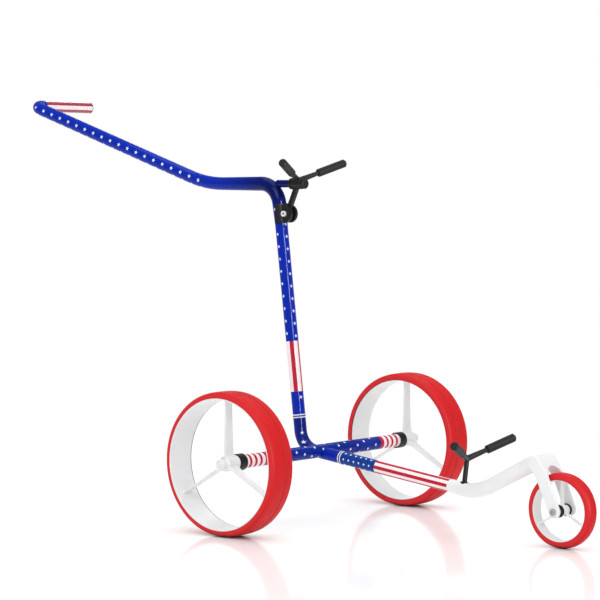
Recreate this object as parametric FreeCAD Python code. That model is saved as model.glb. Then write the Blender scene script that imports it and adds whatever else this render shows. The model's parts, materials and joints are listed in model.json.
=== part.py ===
import FreeCAD, Part
import math
import os
from FreeCAD import Vector

# Three-wheeled electric golf trolley, in millimetres.
# X points forward, Y to the left and Z up. The construction is laid out from the point on the floor
# under the rear axle, and every piece is moved by the same step at the end, so that the stored origin
# is on the floor at the middle of the trolley's length.

# ---- Wheels and axles ----
wheelbase = 601.5              # rear axle to front axle
track = 586.0                  # middle of one rear wheel to the middle of the other
rear_wheel_radius = 145.0
rear_tyre_thickness = 12.4     # radial
rear_rim_width = 63.6
front_wheel_radius = 73.5
front_tyre_thickness = 12.3
front_rim_width = 28.0
rim_wall = 2.5
tyre_bulge = 0.4               # how far a tyre is wider than its rim, on each side
tyre_shoulder = 5.0            # radius of a tyre's rounded shoulder
tyre_shoulder_steps = 6
tread_groove_width = 1.6
tread_groove_depth = 1.0
spoke_count = 3
spoke_thickness = 3.4
rear_spoke_root_width = 27.0
rear_spoke_tip_width = 18.0
rear_hub_radius = 15.5
rear_hub_outer_face = 15.0     # outboard of the wheel's middle plane
rear_nose_radius = 11.0
rear_nose_length = 14.0
nose_rounding = 3.0
front_hub_radius = 10.0
front_hub_half_width = 12.0
front_spoke_width = 11.0
front_spoke_thickness = 3.0
spoke_root_depth = 1.5         # how far a front spoke starts inside the hub's surface
axle_clearance = 1.5           # between the front axle and the hub it passes

# ---- Tubes ----
axle_tube_radius = 14.0
axle_tube_wall = 1.5
main_tube_radius = 13.3        # lower shaft, elbow and front tube
main_tube_wall = 1.6
bend_tube_radius = 15.1        # the shaft is thickest round its upper bend
handle_tube_radius = 13.85
neck_length = 55.0             # how far a neck reaches into the tube that slides over it
slide_fit = 0.10               # radial clearance of a pull-apart joint
seam_gap = 0.10                # between two tube ends that butt together
trim_ring_radius = 13.9
trim_ring_length = 8.0
trim_groove_width = 1.6
trim_groove_depth = 0.5

# ---- Shaft line, in the middle plane ----
shaft_lean = math.radians(6.96)
elbow_corner_x = -53.5
elbow_corner_z = 148.0
elbow_bend = 45.0
shaft_joint_rise = 70.5        # from the elbow's corner up the shaft to the pull-apart joint
front_droop = math.radians(7.18)
front_joint_run = 114.4        # from the elbow's corner forward to the pull-apart joint
shaft_top_z = 703.0
top_bend = 50.0
top_taper_start = 95.0         # below the upper bend's corner
oblique_corner_x = -324.0
oblique_bend = 300.0
handle_x = -862.0
handle_z = 881.0
handle_bend = 28.0
grip_lead = 2.5                # straight tube between the handle's bend and the grip

# ---- Grip and its controls ----
grip_radius = 13.5
grip_wall = 2.3
grip_end_y = 180.0
control_depth = 13.0           # depth of the control unit in the grip's open end
dial_radius = 8.6
dial_length = 7.0
dial_mark_radius = 0.6         # round pointer sunk in the dial's face
dial_mark_depth = 0.4
button_radius = 4.0
button_travel = 1.5
control_wall = 1.2             # wall of the button's guide
control_floor = 2.0
control_chamfer = 0.8
control_clearance = 0.30

# ---- Front fork ----
front_tube_set_back = 268.5    # end of the front tube, behind the front axle
fork_root_radius = 13.8
fork_spigot_length = 40.0
fork_low_set_back = 200.0      # corner where the fork turns upward, behind the front axle
fork_low_bend = 110.0
fork_neck_radius = 16.0
fork_wall = 3.0
flare_inset = 0.6              # the flare's outline lies this far inside the crown's
flare_arching = 1.5
fork_rise = math.radians(27.5)
fork_flare_set_back = 89.5     # where the neck starts to widen
crown_set_back = 48.5          # crown's middle, behind the front axle
crown_over_tyre = 18.5         # crown's middle, above the tyre's top
knee_set_back = 29.5           # bend of the legs, behind the front axle
knee_rise = 68.5               # and above it
leg_radius = 13.5              # half the width of a leg, and of the crown above it
leg_inner_y = 25.0
leg_thickness = 6.0
arch_over_tyre = 11.0          # clearance from the tyre's top to the arch
arch_set_back = 6.0            # the arch starts this far behind the crown's middle
front_axle_radius = 4.0
axle_head_radius = 6.5
axle_head_length = 4.5
axle_key_radius = 3.2          # hexagon recess in the bolt's head, to its corners
axle_nut_radius = 7.0
axle_nut_length = 6.0
axle_tip = 3.0
front_bearing_radius = 8.0
front_bearing_width = 5.0
seal_flange_radius = 12.6
seal_flange_thickness = 2.0
spacer_radius = 6.5

# ---- Bag cradles ----
arm_reach_y = 100.0
arm_reach_forward = 42.0
arm_reach_up = 36.5
arm_root_radius = 6.5
arm_set_back = 11.5            # from the hub's front face back to the arms' root
arm_radius = 4.9
arm_sleeve_radius = 8.6
arm_sleeve_share = 0.42        # the rubber sleeve starts this far along the arm
arm_sleeve_chamfer = 3.2
upper_hub_x = -77.5            # rear face of the cradle hub
upper_hub_length = 25.0
upper_hub_radius = 11.5
stub_radius = 8.0
stub_wall = 2.0
stub_collar_radius = 12.0
stub_collar_length = 5.0
cradle_gap = 0.4
knob_radius = 10.8
knob_length = 9.0
knob_flutes = 8
knob_flute_radius = 1.6
knob_pin_radius = 3.0
pivot_drop = 63.0              # from the shaft's level part down to the cradle pivot
pivot_stand_off = 20.0         # from the shaft's middle line forward to the pivot
strut_width = 9.5
strut_depth = 10.4
ear_gap = 10.1
ear_thickness = 6.0
ear_radius = 19.0
saddle_height = 40.0
saddle_wall = 2.6
saddle_lip = 8.0               # closed part of the saddle below the pivot's eye
pivot_bolt_radius = 3.0
pivot_head_radius = 6.0
pivot_head_length = 4.0
pivot_tail = 2.0
stalk_radius = 5.1
stalk_station = 34.0           # stalk's distance along the fork, forward of the front tube's end
stalk_rise = 62.0              # from the fork's middle line up to the arms' root
socket_radius = 7.6
socket_depth = 9.0             # stalk's depth below the fork's middle line
socket_floor = 2.0
socket_lip = 0.6               # the bush stands this far out of the fork

# ---- Drive units ----
collar_radius = 17.0
collar_inset = 21.0            # from the wheel's middle plane inboard to the collar's outer face
collar_overhang = 10.0         # how far the collar reaches past the axle tube's end
collar_overlap = 9.0           # how far it reaches over the tube
hub_gap = 1.0                  # between the collar and the turning hub
bearing_radius = 11.0
bearing_width = 6.0
bearing_pitch = 10.0           # between the two shaft bearings' near faces
drive_shaft_radius = 5.0
drive_flat_width = 8.0         # across the two flats that turn the wheel
running_fit = 0.04
seal_gap = 1.0                 # between the drive shaft and the collar's end wall
collar_end_wall = 2.0
wheel_fit = 0.08
gear_module = 0.55
sun_teeth = 12
planet_teeth = 12
ring_teeth = 36
planet_count = 3
gear_width = 8.0
pressure_angle = math.radians(20)
tooth_share = 0.72             # tooth thickness at the pitch circle, as a share of half the pitch
addendum = 0.42
dedendum = 0.62
planet_pin_radius = 1.2
carrier_thickness = 4.0
carrier_radius = 9.0
stage_gap = 0.6                # axial gap between parts that turn past each other
motor_length = 85.0
motor_wall = 1.2
motor_end_wall = 3.0
rotor_radius = 8.7
rotor_length = 52.0
rotor_shaft_radius = 2.0
air_gap = 0.5
motor_bearing_radius = 5.0
motor_bearing_width = 4.0
motor_boss_wall = 1.5
release_button_radius = 5.6
release_travel = 2.5
release_dome = 1.5
shaft_end_gap = 0.6            # from the drive shaft's end to the button's room
button_foot_gap = 0.2          # left under the button when it is pressed

# ---- Electronics ----
controller_half_length = 35.0
board_thickness = 1.6
board_side_gap = 0.05          # between the board's long edges and the axle tube
power_stage_width = 14.0
power_stage_length = 18.0
power_stage_height = 4.5
power_stage_y = -25.0          # right-hand edge of the power stage
processor_width = 9.0
processor_height = 2.0
processor_y = -2.0             # right-hand edge of the processor
capacitor_radius = 3.5
capacitor_height = 9.0
capacitor_y = (14.0, 24.0)
board_drop = 4.0               # below the axle tube's middle line
lead_radius = 1.5
socket_y = 60.0
battery_socket_radius = 8.5
battery_bore_radius = 5.5
battery_bore_depth = 13.0
battery_socket_face = 30.0     # behind the axle's middle line

# ---- Values that follow ----
rear_axle_z = rear_wheel_radius
front_axle_z = front_wheel_radius
axle_bore = axle_tube_radius - axle_tube_wall
wheel_y = track / 2
collar_outer_face = wheel_y - collar_inset
axle_tube_half_length = collar_outer_face - collar_overhang
collar_inner_face = axle_tube_half_length - collar_overlap
hub_inner_face = collar_outer_face + hub_gap
drive_shaft_end = wheel_y + rear_hub_outer_face
main_bore = main_tube_radius - main_tube_wall
neck_radius = main_bore - slide_fit
neck_bore = neck_radius - main_tube_wall
rear_end_x = handle_x - handle_tube_radius
front_end_x = wheelbase + front_wheel_radius
origin_x = (rear_end_x + front_end_x) / 2
X_AXIS = Vector(1, 0, 0)
Y_AXIS = Vector(0, 1, 0)
Z_AXIS = Vector(0, 0, 1)
shaft_up = Vector(-math.sin(shaft_lean), 0, math.cos(shaft_lean))
front_out = Vector(math.cos(front_droop), 0, -math.sin(front_droop))
front_normal = Vector(math.sin(front_droop), 0, math.cos(front_droop))
fork_up = Vector(math.cos(fork_rise), 0, math.sin(fork_rise))
elbow_corner = Vector(elbow_corner_x, 0, elbow_corner_z)
shaft_joint = elbow_corner + shaft_up * shaft_joint_rise
front_joint = elbow_corner + front_out * front_joint_run
rear_axle = Vector(0, 0, rear_axle_z)
front_axle = Vector(wheelbase, 0, front_axle_z)


def shaft_point(height):
    """Point of the shaft's straight lower line at a height above the floor."""
    return elbow_corner + shaft_up * ((height - elbow_corner_z) / shaft_up.z)


def front_point(distance_x):
    """Point of the front tube's line at a distance ahead of the rear axle."""
    return elbow_corner + front_out * ((distance_x - elbow_corner_x) / front_out.x)


top_corner = shaft_point(shaft_top_z)
oblique_corner = Vector(oblique_corner_x, 0, shaft_top_z)
handle_corner = Vector(handle_x, 0, handle_z)
grip_start_y = handle_bend + grip_lead
front_tube_end = front_point(wheelbase - front_tube_set_back)
fork_low_corner = front_point(wheelbase - fork_low_set_back)
fork_neck_end = fork_low_corner + fork_up * ((fork_low_set_back - fork_flare_set_back) / fork_up.x)
crown = Vector(wheelbase - crown_set_back, 0, 2 * front_wheel_radius + crown_over_tyre)
knee = front_axle + Vector(-knee_set_back, 0, knee_rise)
stalk_foot = front_tube_end + front_out * stalk_station
stalk_top = stalk_foot + front_normal * stalk_rise
pivot = shaft_point(shaft_top_z - pivot_drop) + X_AXIS * pivot_stand_off
hub_front_x = upper_hub_x + upper_hub_length
hub_middle = Vector(upper_hub_x + upper_hub_length / 2, 0, shaft_top_z)
arm_root_upper = Vector(hub_front_x - arm_set_back, 0, shaft_top_z + arm_root_radius)


# ---- Building blocks ----
def rod(radius, start, end, end_radius=None):
    """Cylinder, or cone where end_radius differs, between two points."""
    line = end - start
    if end_radius is None or abs(end_radius - radius) < 1e-6:
        return Part.makeCylinder(radius, line.Length, start, line)
    return Part.makeCone(radius, end_radius, line.Length, start, line)


def sleeve(outer, inner, start, end):
    """Straight tube between two points."""
    return rod(outer, start, end).cut(rod(inner, start, end))


def turned(profile, centre, axis):
    """Solid of revolution. The profile lists (distance along the axis, radius)."""
    side = axis.cross(Y_AXIS if abs(axis.z) > 0.5 else Z_AXIS).normalize()
    points = [centre + axis * along + side * radius for along, radius in profile]
    face = Part.Face(Part.makePolygon(points + [points[0]]))
    solid = face.revolve(centre, axis, 360)
    return solid if solid.Volume > 0 else solid.reversed()


def bent_bar(stations):
    """Round bar through stations of (point, radius, bend radius or None), with an arc at each bend."""
    pieces = []
    start = stations[0][0]
    start_radius = stations[0][1]
    for before, here, after in zip(stations, stations[1:], stations[2:] + [None]):
        point, radius, bend = here
        into = (point - before[0]).normalize()
        if after is None or bend is None:
            pieces.append(rod(start_radius, start, point, radius))
            start = point
            start_radius = radius
            continue
        onward = (after[0] - point).normalize()
        turn = into.getAngle(onward)
        reach = bend * math.tan(turn / 2)
        arc_start = point - into * reach
        pieces.append(rod(start_radius, start, arc_start, radius))
        hinge_axis = into.cross(onward).normalize()
        inward = hinge_axis.cross(into)
        disc = Part.Face(Part.Wire(Part.makeCircle(radius, arc_start, into)))
        pieces.append(disc.revolve(arc_start + inward * bend, hinge_axis, math.degrees(turn)))
        start = point + onward * reach
        start_radius = radius
    return pieces[0].multiFuse(pieces[1:]).removeSplitter()


def bent_tube(stations, wall):
    """Hollow version of bent_bar."""
    inner = [(point, radius - wall, bend) for point, radius, bend in stations]
    return bent_bar(stations).cut(bent_bar(inner))


def plate(points, thickness, direction):
    """Flat plate: a polygon pushed out on both sides of its own plane."""
    face = Part.Face(Part.makePolygon(points + [points[0]]))
    face.translate(direction * (-thickness / 2))
    return face.extrude(direction * thickness)


def slot_bar(start, end, radius, thickness):
    """Flat bar with round ends, lying across Y, centred on the plane of its two points."""
    half = Y_AXIS * (thickness / 2)
    line = (end - start).normalize()
    side = line.cross(Y_AXIS) * radius
    body = plate([start + side, end + side, end - side, start - side], thickness, Y_AXIS)
    ends = [rod(radius, point - half, point + half) for point in (start, end)]
    return body.multiFuse(ends).removeSplitter()


def mirrored(shape):
    """The right-hand copy of a left-hand piece."""
    return shape.mirror(Vector(0, 0, 0), Y_AXIS)


def at_rear(distance_y):
    """Point on the rear axle's line."""
    return rear_axle + Y_AXIS * distance_y


def at_front(distance_y):
    """Point on the front axle's line."""
    return front_axle + Y_AXIS * distance_y


# ---- Frame ----
def axle_tube():
    return sleeve(axle_tube_radius, axle_bore, at_rear(-axle_tube_half_length),
                  at_rear(axle_tube_half_length))


def axle_passage():
    """Solid that a frame tube is cut by where it meets the axle tube."""
    reach = Y_AXIS * (2 * main_tube_radius)
    return rod(axle_tube_radius, rear_axle - reach, rear_axle + reach)


def largest(shape):
    """The biggest solid of a cut shape."""
    return max(shape.Solids, key=lambda solid: solid.Volume)


def neck(joint, outward):
    """Thinner end of a frame tube, over which the next tube slides."""
    return sleeve(neck_radius, neck_bore, joint - outward * trim_ring_length,
                  joint + outward * neck_length)


def shoulder(joint, outward):
    """Closing washer between a frame tube and its thinner neck."""
    back = joint - outward * (trim_ring_length + main_tube_wall)
    return sleeve(main_tube_radius, neck_bore, back, joint - outward * trim_ring_length)


def frame_elbow():
    """Bent tube from the shaft joint down to the axle tube, which it meets end on."""
    ring_foot = shaft_joint - shaft_up * trim_ring_length
    tube = bent_tube([(ring_foot, main_tube_radius, None),
                      (elbow_corner, main_tube_radius, elbow_bend),
                      (front_point(0), main_tube_radius, None)], main_tube_wall)
    tube = largest(tube.cut(axle_passage()))
    ends = [neck(shaft_joint, shaft_up), shoulder(shaft_joint, shaft_up)]
    return tube.multiFuse(ends).removeSplitter()


def front_stub():
    """Straight tube from the axle tube forward to the front joint."""
    ring_foot = front_joint - front_out * trim_ring_length
    tube = largest(sleeve(main_tube_radius, main_bore, front_point(0), ring_foot).cut(axle_passage()))
    ends = [neck(front_joint, front_out), shoulder(front_joint, front_out)]
    return tube.multiFuse(ends).removeSplitter()


def trim_ring(joint, outward):
    """Bright ring at a pull-apart joint, with one groove round its middle."""
    half = trim_ring_length / 2
    middle = joint - outward * half
    groove = trim_groove_width / 2
    low = trim_ring_radius - trim_groove_depth
    profile = [(-half, neck_radius), (-half, trim_ring_radius), (-groove, trim_ring_radius),
               (-groove, low), (groove, low), (groove, trim_ring_radius),
               (half, trim_ring_radius), (half, neck_radius)]
    return turned(profile, middle, outward)


# ---- Shaft and handle ----
def shaft_stations():
    taper_foot = top_corner - shaft_up * top_taper_start
    return [(shaft_joint + shaft_up * seam_gap, main_tube_radius, None),
            (taper_foot, main_tube_radius, None),
            (top_corner, bend_tube_radius, top_bend),
            (oblique_corner, handle_tube_radius, oblique_bend),
            (handle_corner, handle_tube_radius, handle_bend),
            (handle_corner + Y_AXIS * grip_start_y, handle_tube_radius, None)]


def stub_end_x():
    return upper_hub_x - cradle_gap - stub_collar_length


def grip_core_radius():
    return grip_radius - grip_wall


def shaft_tube():
    """Shaft, handle bend, the thinner tube inside the grip and the cradle's stub, all one piece."""
    outer = bent_bar(shaft_stations())
    stub_face = Vector(stub_end_x(), 0, shaft_top_z)
    core_end = handle_corner + Y_AXIS * (grip_end_y - control_depth)
    core = rod(grip_core_radius(), handle_corner + Y_AXIS * handle_bend, core_end)
    stub = rod(stub_radius, top_corner, stub_face)
    inner = [(point, radius - main_tube_wall, bend) for point, radius, bend in shaft_stations()]
    bore_end = handle_corner + Y_AXIS * (grip_start_y - main_tube_wall)
    inner[-1] = (bore_end, handle_tube_radius - main_tube_wall, None)
    core_bore = rod(grip_core_radius() - main_tube_wall, handle_corner + Y_AXIS * handle_bend, core_end)
    stub_bore = rod(stub_radius - stub_wall, top_corner, stub_face)
    body = outer.multiFuse([core, stub]).removeSplitter()
    return body.cut(bent_bar(inner)).cut(core_bore).cut(stub_bore)


def grip():
    return sleeve(grip_radius, grip_core_radius(), handle_corner + Y_AXIS * grip_start_y,
                  handle_corner + Y_AXIS * grip_end_y)


def control_housing():
    """Cup in the grip's open end that carries the speed dial and the power button."""
    foot = grip_end_y - control_depth
    floor = foot + control_floor
    dial_floor = grip_end_y - dial_length - control_clearance
    dial_bore = dial_radius + control_clearance
    stem = button_radius + control_clearance + control_wall
    button_bore = button_radius + control_clearance
    stem_top = dial_floor + dial_length / 2
    profile = [(foot, 0), (foot, grip_core_radius()), (grip_end_y, grip_core_radius()),
               (grip_end_y, dial_bore), (dial_floor, dial_bore), (dial_floor, stem),
               (stem_top, stem), (stem_top, button_bore), (floor, button_bore), (floor, 0)]
    return turned(profile, handle_corner, Y_AXIS)


def speed_dial():
    floor = grip_end_y - dial_length
    stem = button_radius + 2 * control_clearance + control_wall
    skirt_top = floor + dial_length / 2 + control_clearance
    bore = button_radius + control_clearance
    profile = [(floor, stem), (floor, dial_radius), (grip_end_y - control_chamfer, dial_radius),
               (grip_end_y, dial_radius - control_chamfer), (grip_end_y, bore), (skirt_top, bore),
               (skirt_top, stem)]
    dial = turned(profile, handle_corner, Y_AXIS)
    mark_place = handle_corner + Vector(0, grip_end_y, (dial_radius + bore) / 2)
    mark = rod(dial_mark_radius, mark_place - Y_AXIS * dial_mark_depth, mark_place + Y_AXIS)
    return dial.cut(mark)


def power_button():
    foot = grip_end_y - control_depth + control_floor + button_travel + control_clearance
    profile = [(foot, 0), (foot, button_radius), (grip_end_y - control_chamfer, button_radius),
               (grip_end_y, button_radius - control_chamfer), (grip_end_y, 0)]
    return turned(profile, handle_corner, Y_AXIS)


# ---- Upper bag cradle ----
def stub_collar():
    """Black collar on the end of the shaft's stub."""
    rear = Vector(stub_end_x(), 0, shaft_top_z)
    front = rear + X_AXIS * stub_collar_length
    plug = rod(stub_radius - stub_wall, rear - X_AXIS * stub_collar_length, rear)
    return rod(stub_collar_radius, rear, front).fuse(plug).removeSplitter()


def cradle_arm(root, side):
    """Tapered bare part of one arm, up to and through the middle of its sleeve."""
    reach = Vector(arm_reach_forward, side * arm_reach_y, arm_reach_up)
    sleeve_start = root + reach * arm_sleeve_share
    bare = rod(arm_root_radius, root, sleeve_start, arm_radius)
    return [bare, rod(arm_radius, sleeve_start, root + reach)]


def arm_sleeve(root, side):
    """Rubber sleeve on the outer part of an arm, closed at its tip."""
    reach = Vector(arm_reach_forward, side * arm_reach_y, arm_reach_up)
    direction = Vector(reach).normalize()
    begin = reach.Length * arm_sleeve_share
    tip = reach.Length
    end = tip + arm_sleeve_radius - arm_radius
    chamfer = arm_sleeve_chamfer
    profile = [(begin, arm_radius), (begin, arm_sleeve_radius - chamfer / 2),
               (begin + chamfer / 2, arm_sleeve_radius), (end - chamfer, arm_sleeve_radius),
               (end, arm_sleeve_radius - chamfer), (end, 0), (tip, 0), (tip, arm_radius)]
    return turned(profile, root, direction)


def arm_sleeves(root):
    return Part.makeCompound([arm_sleeve(root, side) for side in (1, -1)])


def upper_cradle():
    """Hub, strut down to the pivot, and the bare parts of both arms, in one piece."""
    knob_seat = Vector(hub_front_x, 0, shaft_top_z)
    knob_foot = knob_seat - X_AXIS * (upper_hub_length / 2)
    knob_bore = rod(knob_pin_radius + running_fit, knob_foot, knob_seat + X_AXIS)
    bolt_room = Y_AXIS * strut_width
    bolt_bore = rod(pivot_bolt_radius + running_fit, pivot - bolt_room, pivot + bolt_room)
    pieces = [rod(upper_hub_radius, Vector(upper_hub_x, 0, shaft_top_z), knob_seat),
              slot_bar(pivot, hub_middle, strut_depth / 2, strut_width),
              Part.makeSphere(arm_root_radius, arm_root_upper)]
    pieces = pieces + cradle_arm(arm_root_upper, 1) + cradle_arm(arm_root_upper, -1)
    pieces = [piece.cut(knob_bore).cut(bolt_bore) for piece in pieces]
    return pieces[0].multiFuse(pieces[1:]).removeSplitter()


def cradle_knob():
    """Fluted knob on the front of the cradle hub."""
    rear = Vector(hub_front_x + cradle_gap, 0, shaft_top_z)
    front_edge = knob_length - 2
    profile = [(0, 0), (0, knob_radius - 1), (1, knob_radius), (front_edge, knob_radius),
               (knob_length, knob_radius - 2), (knob_length, 0)]
    body = turned(profile, rear, X_AXIS)
    pin = rod(knob_pin_radius, rear - X_AXIS * (upper_hub_length / 2 - 1), rear)
    body = body.fuse(pin).removeSplitter()
    for step in range(knob_flutes):
        angle = 2 * math.pi * (step + 0.5) / knob_flutes
        offset = Vector(0, math.cos(angle), math.sin(angle)) * (knob_radius + knob_flute_radius / 2)
        flute_foot = rear + offset - X_AXIS
        body = body.cut(rod(knob_flute_radius, flute_foot, flute_foot + X_AXIS * (knob_length + 2)))
    return body


def cradle_bracket():
    """Saddle on the front half of the shaft, with two round ears for the cradle's pivot."""
    middle = shaft_point(shaft_top_z - pivot_drop)
    half = shaft_up * (saddle_height / 2)
    shell = rod(bend_tube_radius + saddle_wall, middle - half, middle + half)
    ears = []
    for side in (1, -1):
        ear_middle = pivot + Y_AXIS * (side * (ear_gap + ear_thickness) / 2)
        ear_root = ear_middle - X_AXIS * (pivot_stand_off / 2)
        ears.append(slot_bar(ear_root, ear_middle, ear_radius, ear_thickness))
    body = shell.multiFuse(ears)
    room = saddle_height * 2
    keep = Part.makeBox(2 * room, 2 * room, 2 * room, middle - Vector(0, room, room))
    body = body.common(keep)
    saddle_front = middle.x + bend_tube_radius + saddle_wall
    lip = pivot.z - saddle_lip
    slot = Part.makeBox(room, ear_gap, room, Vector(middle.x, -ear_gap / 2, lip))
    below = Part.makeBox(room, ear_gap, room, Vector(saddle_front, -ear_gap / 2, lip - room))
    bolt = rod(pivot_bolt_radius, pivot - Y_AXIS * ear_radius * 2, pivot + Y_AXIS * ear_radius * 2)
    return largest(body.cut(bent_bar(shaft_stations())).cut(slot).cut(below).cut(bolt))


def ear_outer_y():
    return ear_gap / 2 + ear_thickness


def hexagon(centre, axis, radius, length):
    """Hexagonal bar that starts at centre, with radius measured to its corners."""
    side = axis.cross(Z_AXIS if abs(axis.z) < 0.5 else X_AXIS).normalize()
    other = axis.cross(side)
    corners = []
    for step in range(6):
        angle = step * math.pi / 3
        corners.append(centre + side * (radius * math.cos(angle)) + other * (radius * math.sin(angle)))
    return Part.Face(Part.makePolygon(corners + [corners[0]])).extrude(axis * length)


def cradle_pivot_bolt():
    seat = pivot - Y_AXIS * ear_outer_y()
    face = seat - Y_AXIS * pivot_head_length
    tip = pivot + Y_AXIS * (ear_outer_y() + pivot_head_length + pivot_tail)
    shank = rod(pivot_bolt_radius, seat, tip)
    head = rod(pivot_head_radius, face, seat)
    recess = hexagon(face, Y_AXIS, pivot_bolt_radius, pivot_head_length / 2)
    return shank.fuse(head).removeSplitter().cut(recess)


def cradle_pivot_nut():
    start = pivot + Y_AXIS * ear_outer_y()
    bore = rod(pivot_bolt_radius, start - Y_AXIS, start + Y_AXIS * (2 * pivot_head_length))
    return hexagon(start, Y_AXIS, pivot_head_radius, pivot_head_length).cut(bore)


# ---- Front frame ----
def front_tube():
    return sleeve(main_tube_radius, main_bore, front_joint + front_out * seam_gap, front_tube_end)


def ellipse_wire(centre, normal, half_width, half_height):
    """Closed ellipse across the given direction, wide along Y."""
    up = normal.cross(Y_AXIS).normalize()
    if half_width == half_height:
        return Part.Wire(Part.makeCircle(half_width, centre, normal))
    ellipse = Part.Ellipse(centre + Y_AXIS * half_width, centre + up * half_height, centre)
    return Part.Wire(ellipse.toShape())


def fork_leg(side):
    """One flat leg, from the knee below the crown to the axle."""
    offset = Y_AXIS * (side * (leg_inner_y + leg_thickness / 2))
    return slot_bar(knee + offset, front_axle + offset, leg_radius, leg_thickness)


def fork_crown():
    """Block that joins the neck to both legs, before the arch is cut through it."""
    width = 2 * (leg_inner_y + leg_thickness)
    return slot_bar(crown, knee, leg_radius, width)


def fork_arch():
    """Room over the wheel: straight between the legs, round at the top."""
    foot = Vector(crown.x - arch_set_back, 0, 2 * front_wheel_radius + arch_over_tyre - leg_inner_y)
    length = X_AXIS * (2 * leg_radius + crown_set_back)
    below = Part.makeBox(length.x, 2 * leg_inner_y, foot.z, Vector(foot.x, -leg_inner_y, 0))
    return rod(leg_inner_y, foot, foot + length).fuse(below).removeSplitter()


def fork_neck_flare():
    """Neck widening from its round end to the full width of the crown."""
    middle = (fork_neck_end + crown) * 0.5 + Vector(0, 0, flare_arching)
    half_width = leg_inner_y + leg_thickness - flare_inset
    middle_width = (fork_neck_radius + half_width) / 2
    wires = [ellipse_wire(fork_neck_end, fork_up, fork_neck_radius, fork_neck_radius),
             ellipse_wire(middle, fork_up, middle_width, fork_neck_radius - flare_inset),
             ellipse_wire(crown, fork_up, half_width, leg_radius - flare_inset)]
    return Part.makeLoft(wires, True, False)


def front_fork():
    spigot_foot = front_tube_end - front_out * fork_spigot_length
    spigot = rod(main_bore, spigot_foot, front_tube_end)
    neck_stations = [(front_tube_end, fork_root_radius, None),
                     (fork_low_corner, fork_neck_radius - 1.0, fork_low_bend),
                     (fork_neck_end, fork_neck_radius, None)]
    hollow_stations = [(spigot_foot, main_bore - fork_wall, None),
                       (fork_low_corner, main_bore - fork_wall, fork_low_bend),
                       (fork_neck_end, main_bore - fork_wall, None)]
    additions = [spigot, fork_neck_flare(), fork_crown(), fork_leg(1), fork_leg(-1)]
    body = bent_bar(neck_stations).multiFuse(additions)
    body = body.removeSplitter().cut(fork_arch()).cut(bent_bar(hollow_stations))
    width = 2 * (leg_inner_y + leg_thickness)
    axle = rod(front_axle_radius, at_front(-width), at_front(width))
    seat = rod(socket_radius, stalk_foot - front_normal * (socket_depth + socket_floor),
               stalk_foot + front_normal * (2 * fork_neck_radius))
    return body.cut(axle).cut(seat)


def stalk_socket():
    """Bush in the fork that the lower cradle's stalk drops into."""
    floor = stalk_foot - front_normal * (socket_depth + socket_floor)
    top = stalk_foot + front_normal * (fork_root_radius + socket_lip)
    body = rod(socket_radius, floor, top)
    bore = rod(stalk_radius + slide_fit, floor + front_normal * socket_floor, top + front_normal)
    return body.cut(bore)


def front_axle_bolt():
    out = leg_inner_y + leg_thickness
    tip = out + axle_nut_length + axle_tip
    face = at_front(-out - axle_head_length)
    shank = rod(front_axle_radius, at_front(-out), at_front(tip))
    head = rod(axle_head_radius, face, at_front(-out))
    recess = hexagon(face, Y_AXIS, axle_key_radius, axle_head_length / 2)
    return shank.fuse(head).removeSplitter().cut(recess)


def front_axle_nut():
    out = leg_inner_y + leg_thickness
    bore = rod(front_axle_radius, at_front(out - 1), at_front(out + 2 * axle_nut_length))
    return hexagon(at_front(out), Y_AXIS, axle_nut_radius, axle_nut_length).cut(bore)


def front_spacers():
    """Two bright spacers between the fork legs and the wheel bearings."""
    inner = front_hub_half_width + seal_flange_thickness + cradle_gap
    rings = []
    for side in (1, -1):
        start = at_front(side * inner)
        rings.append(sleeve(spacer_radius, front_axle_radius, start, at_front(side * leg_inner_y)))
    return Part.makeCompound(rings)


# ---- Wheels ----
def tyre(centre, radius, thickness, half_width):
    """Solid tyre with rounded shoulders and one groove round its middle."""
    shoulder_points = []
    for step in range(tyre_shoulder_steps + 1):
        angle = math.pi / 2 * step / tyre_shoulder_steps
        shoulder_points.append((half_width - tyre_shoulder * (1 - math.cos(angle)),
                                radius - tyre_shoulder * (1 - math.sin(angle))))
    mirror_points = [(-along, r) for along, r in shoulder_points]
    groove = tread_groove_width / 2
    low = radius - tread_groove_depth
    inner = radius - thickness
    groove_points = [(-groove, radius), (-groove, low), (groove, low), (groove, radius)]
    profile = [(-half_width, inner)] + mirror_points + groove_points
    profile = profile + shoulder_points[::-1] + [(half_width, inner)]
    return turned(profile, centre, Y_AXIS)


def spoke(centre, angle, root_radius, tip_radius, root_width, tip_width, thickness):
    """Flat blade from hub to rim, wide along Y."""
    out = Vector(math.cos(angle), 0, math.sin(angle))
    across = out.cross(Y_AXIS)
    corners = [(root_radius, -root_width / 2), (root_radius, root_width / 2),
               (tip_radius, tip_width / 2), (tip_radius, -tip_width / 2)]
    return plate([centre + out * r + Y_AXIS * y for r, y in corners], thickness, across)


def spokes(centre, root_radius, tip_radius, root_width, tip_width, thickness):
    blades = []
    for index in range(spoke_count):
        angle = math.pi / 2 + 2 * math.pi * index / spoke_count
        blades.append(spoke(centre, angle, root_radius, tip_radius, root_width, tip_width, thickness))
    return blades


def drive_section(clearance, start_y, end_y):
    """Round bar with two flats, used for the drive shaft's end and for the hub's bore."""
    round_bar = rod(drive_shaft_radius + clearance, at_rear(start_y), at_rear(end_y))
    half = drive_flat_width / 2 + clearance
    tall = 2 * drive_shaft_radius
    box = Part.makeBox(2 * half, end_y - start_y, 2 * tall, Vector(-half, start_y, rear_axle_z - tall))
    return round_bar.common(box)


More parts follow.
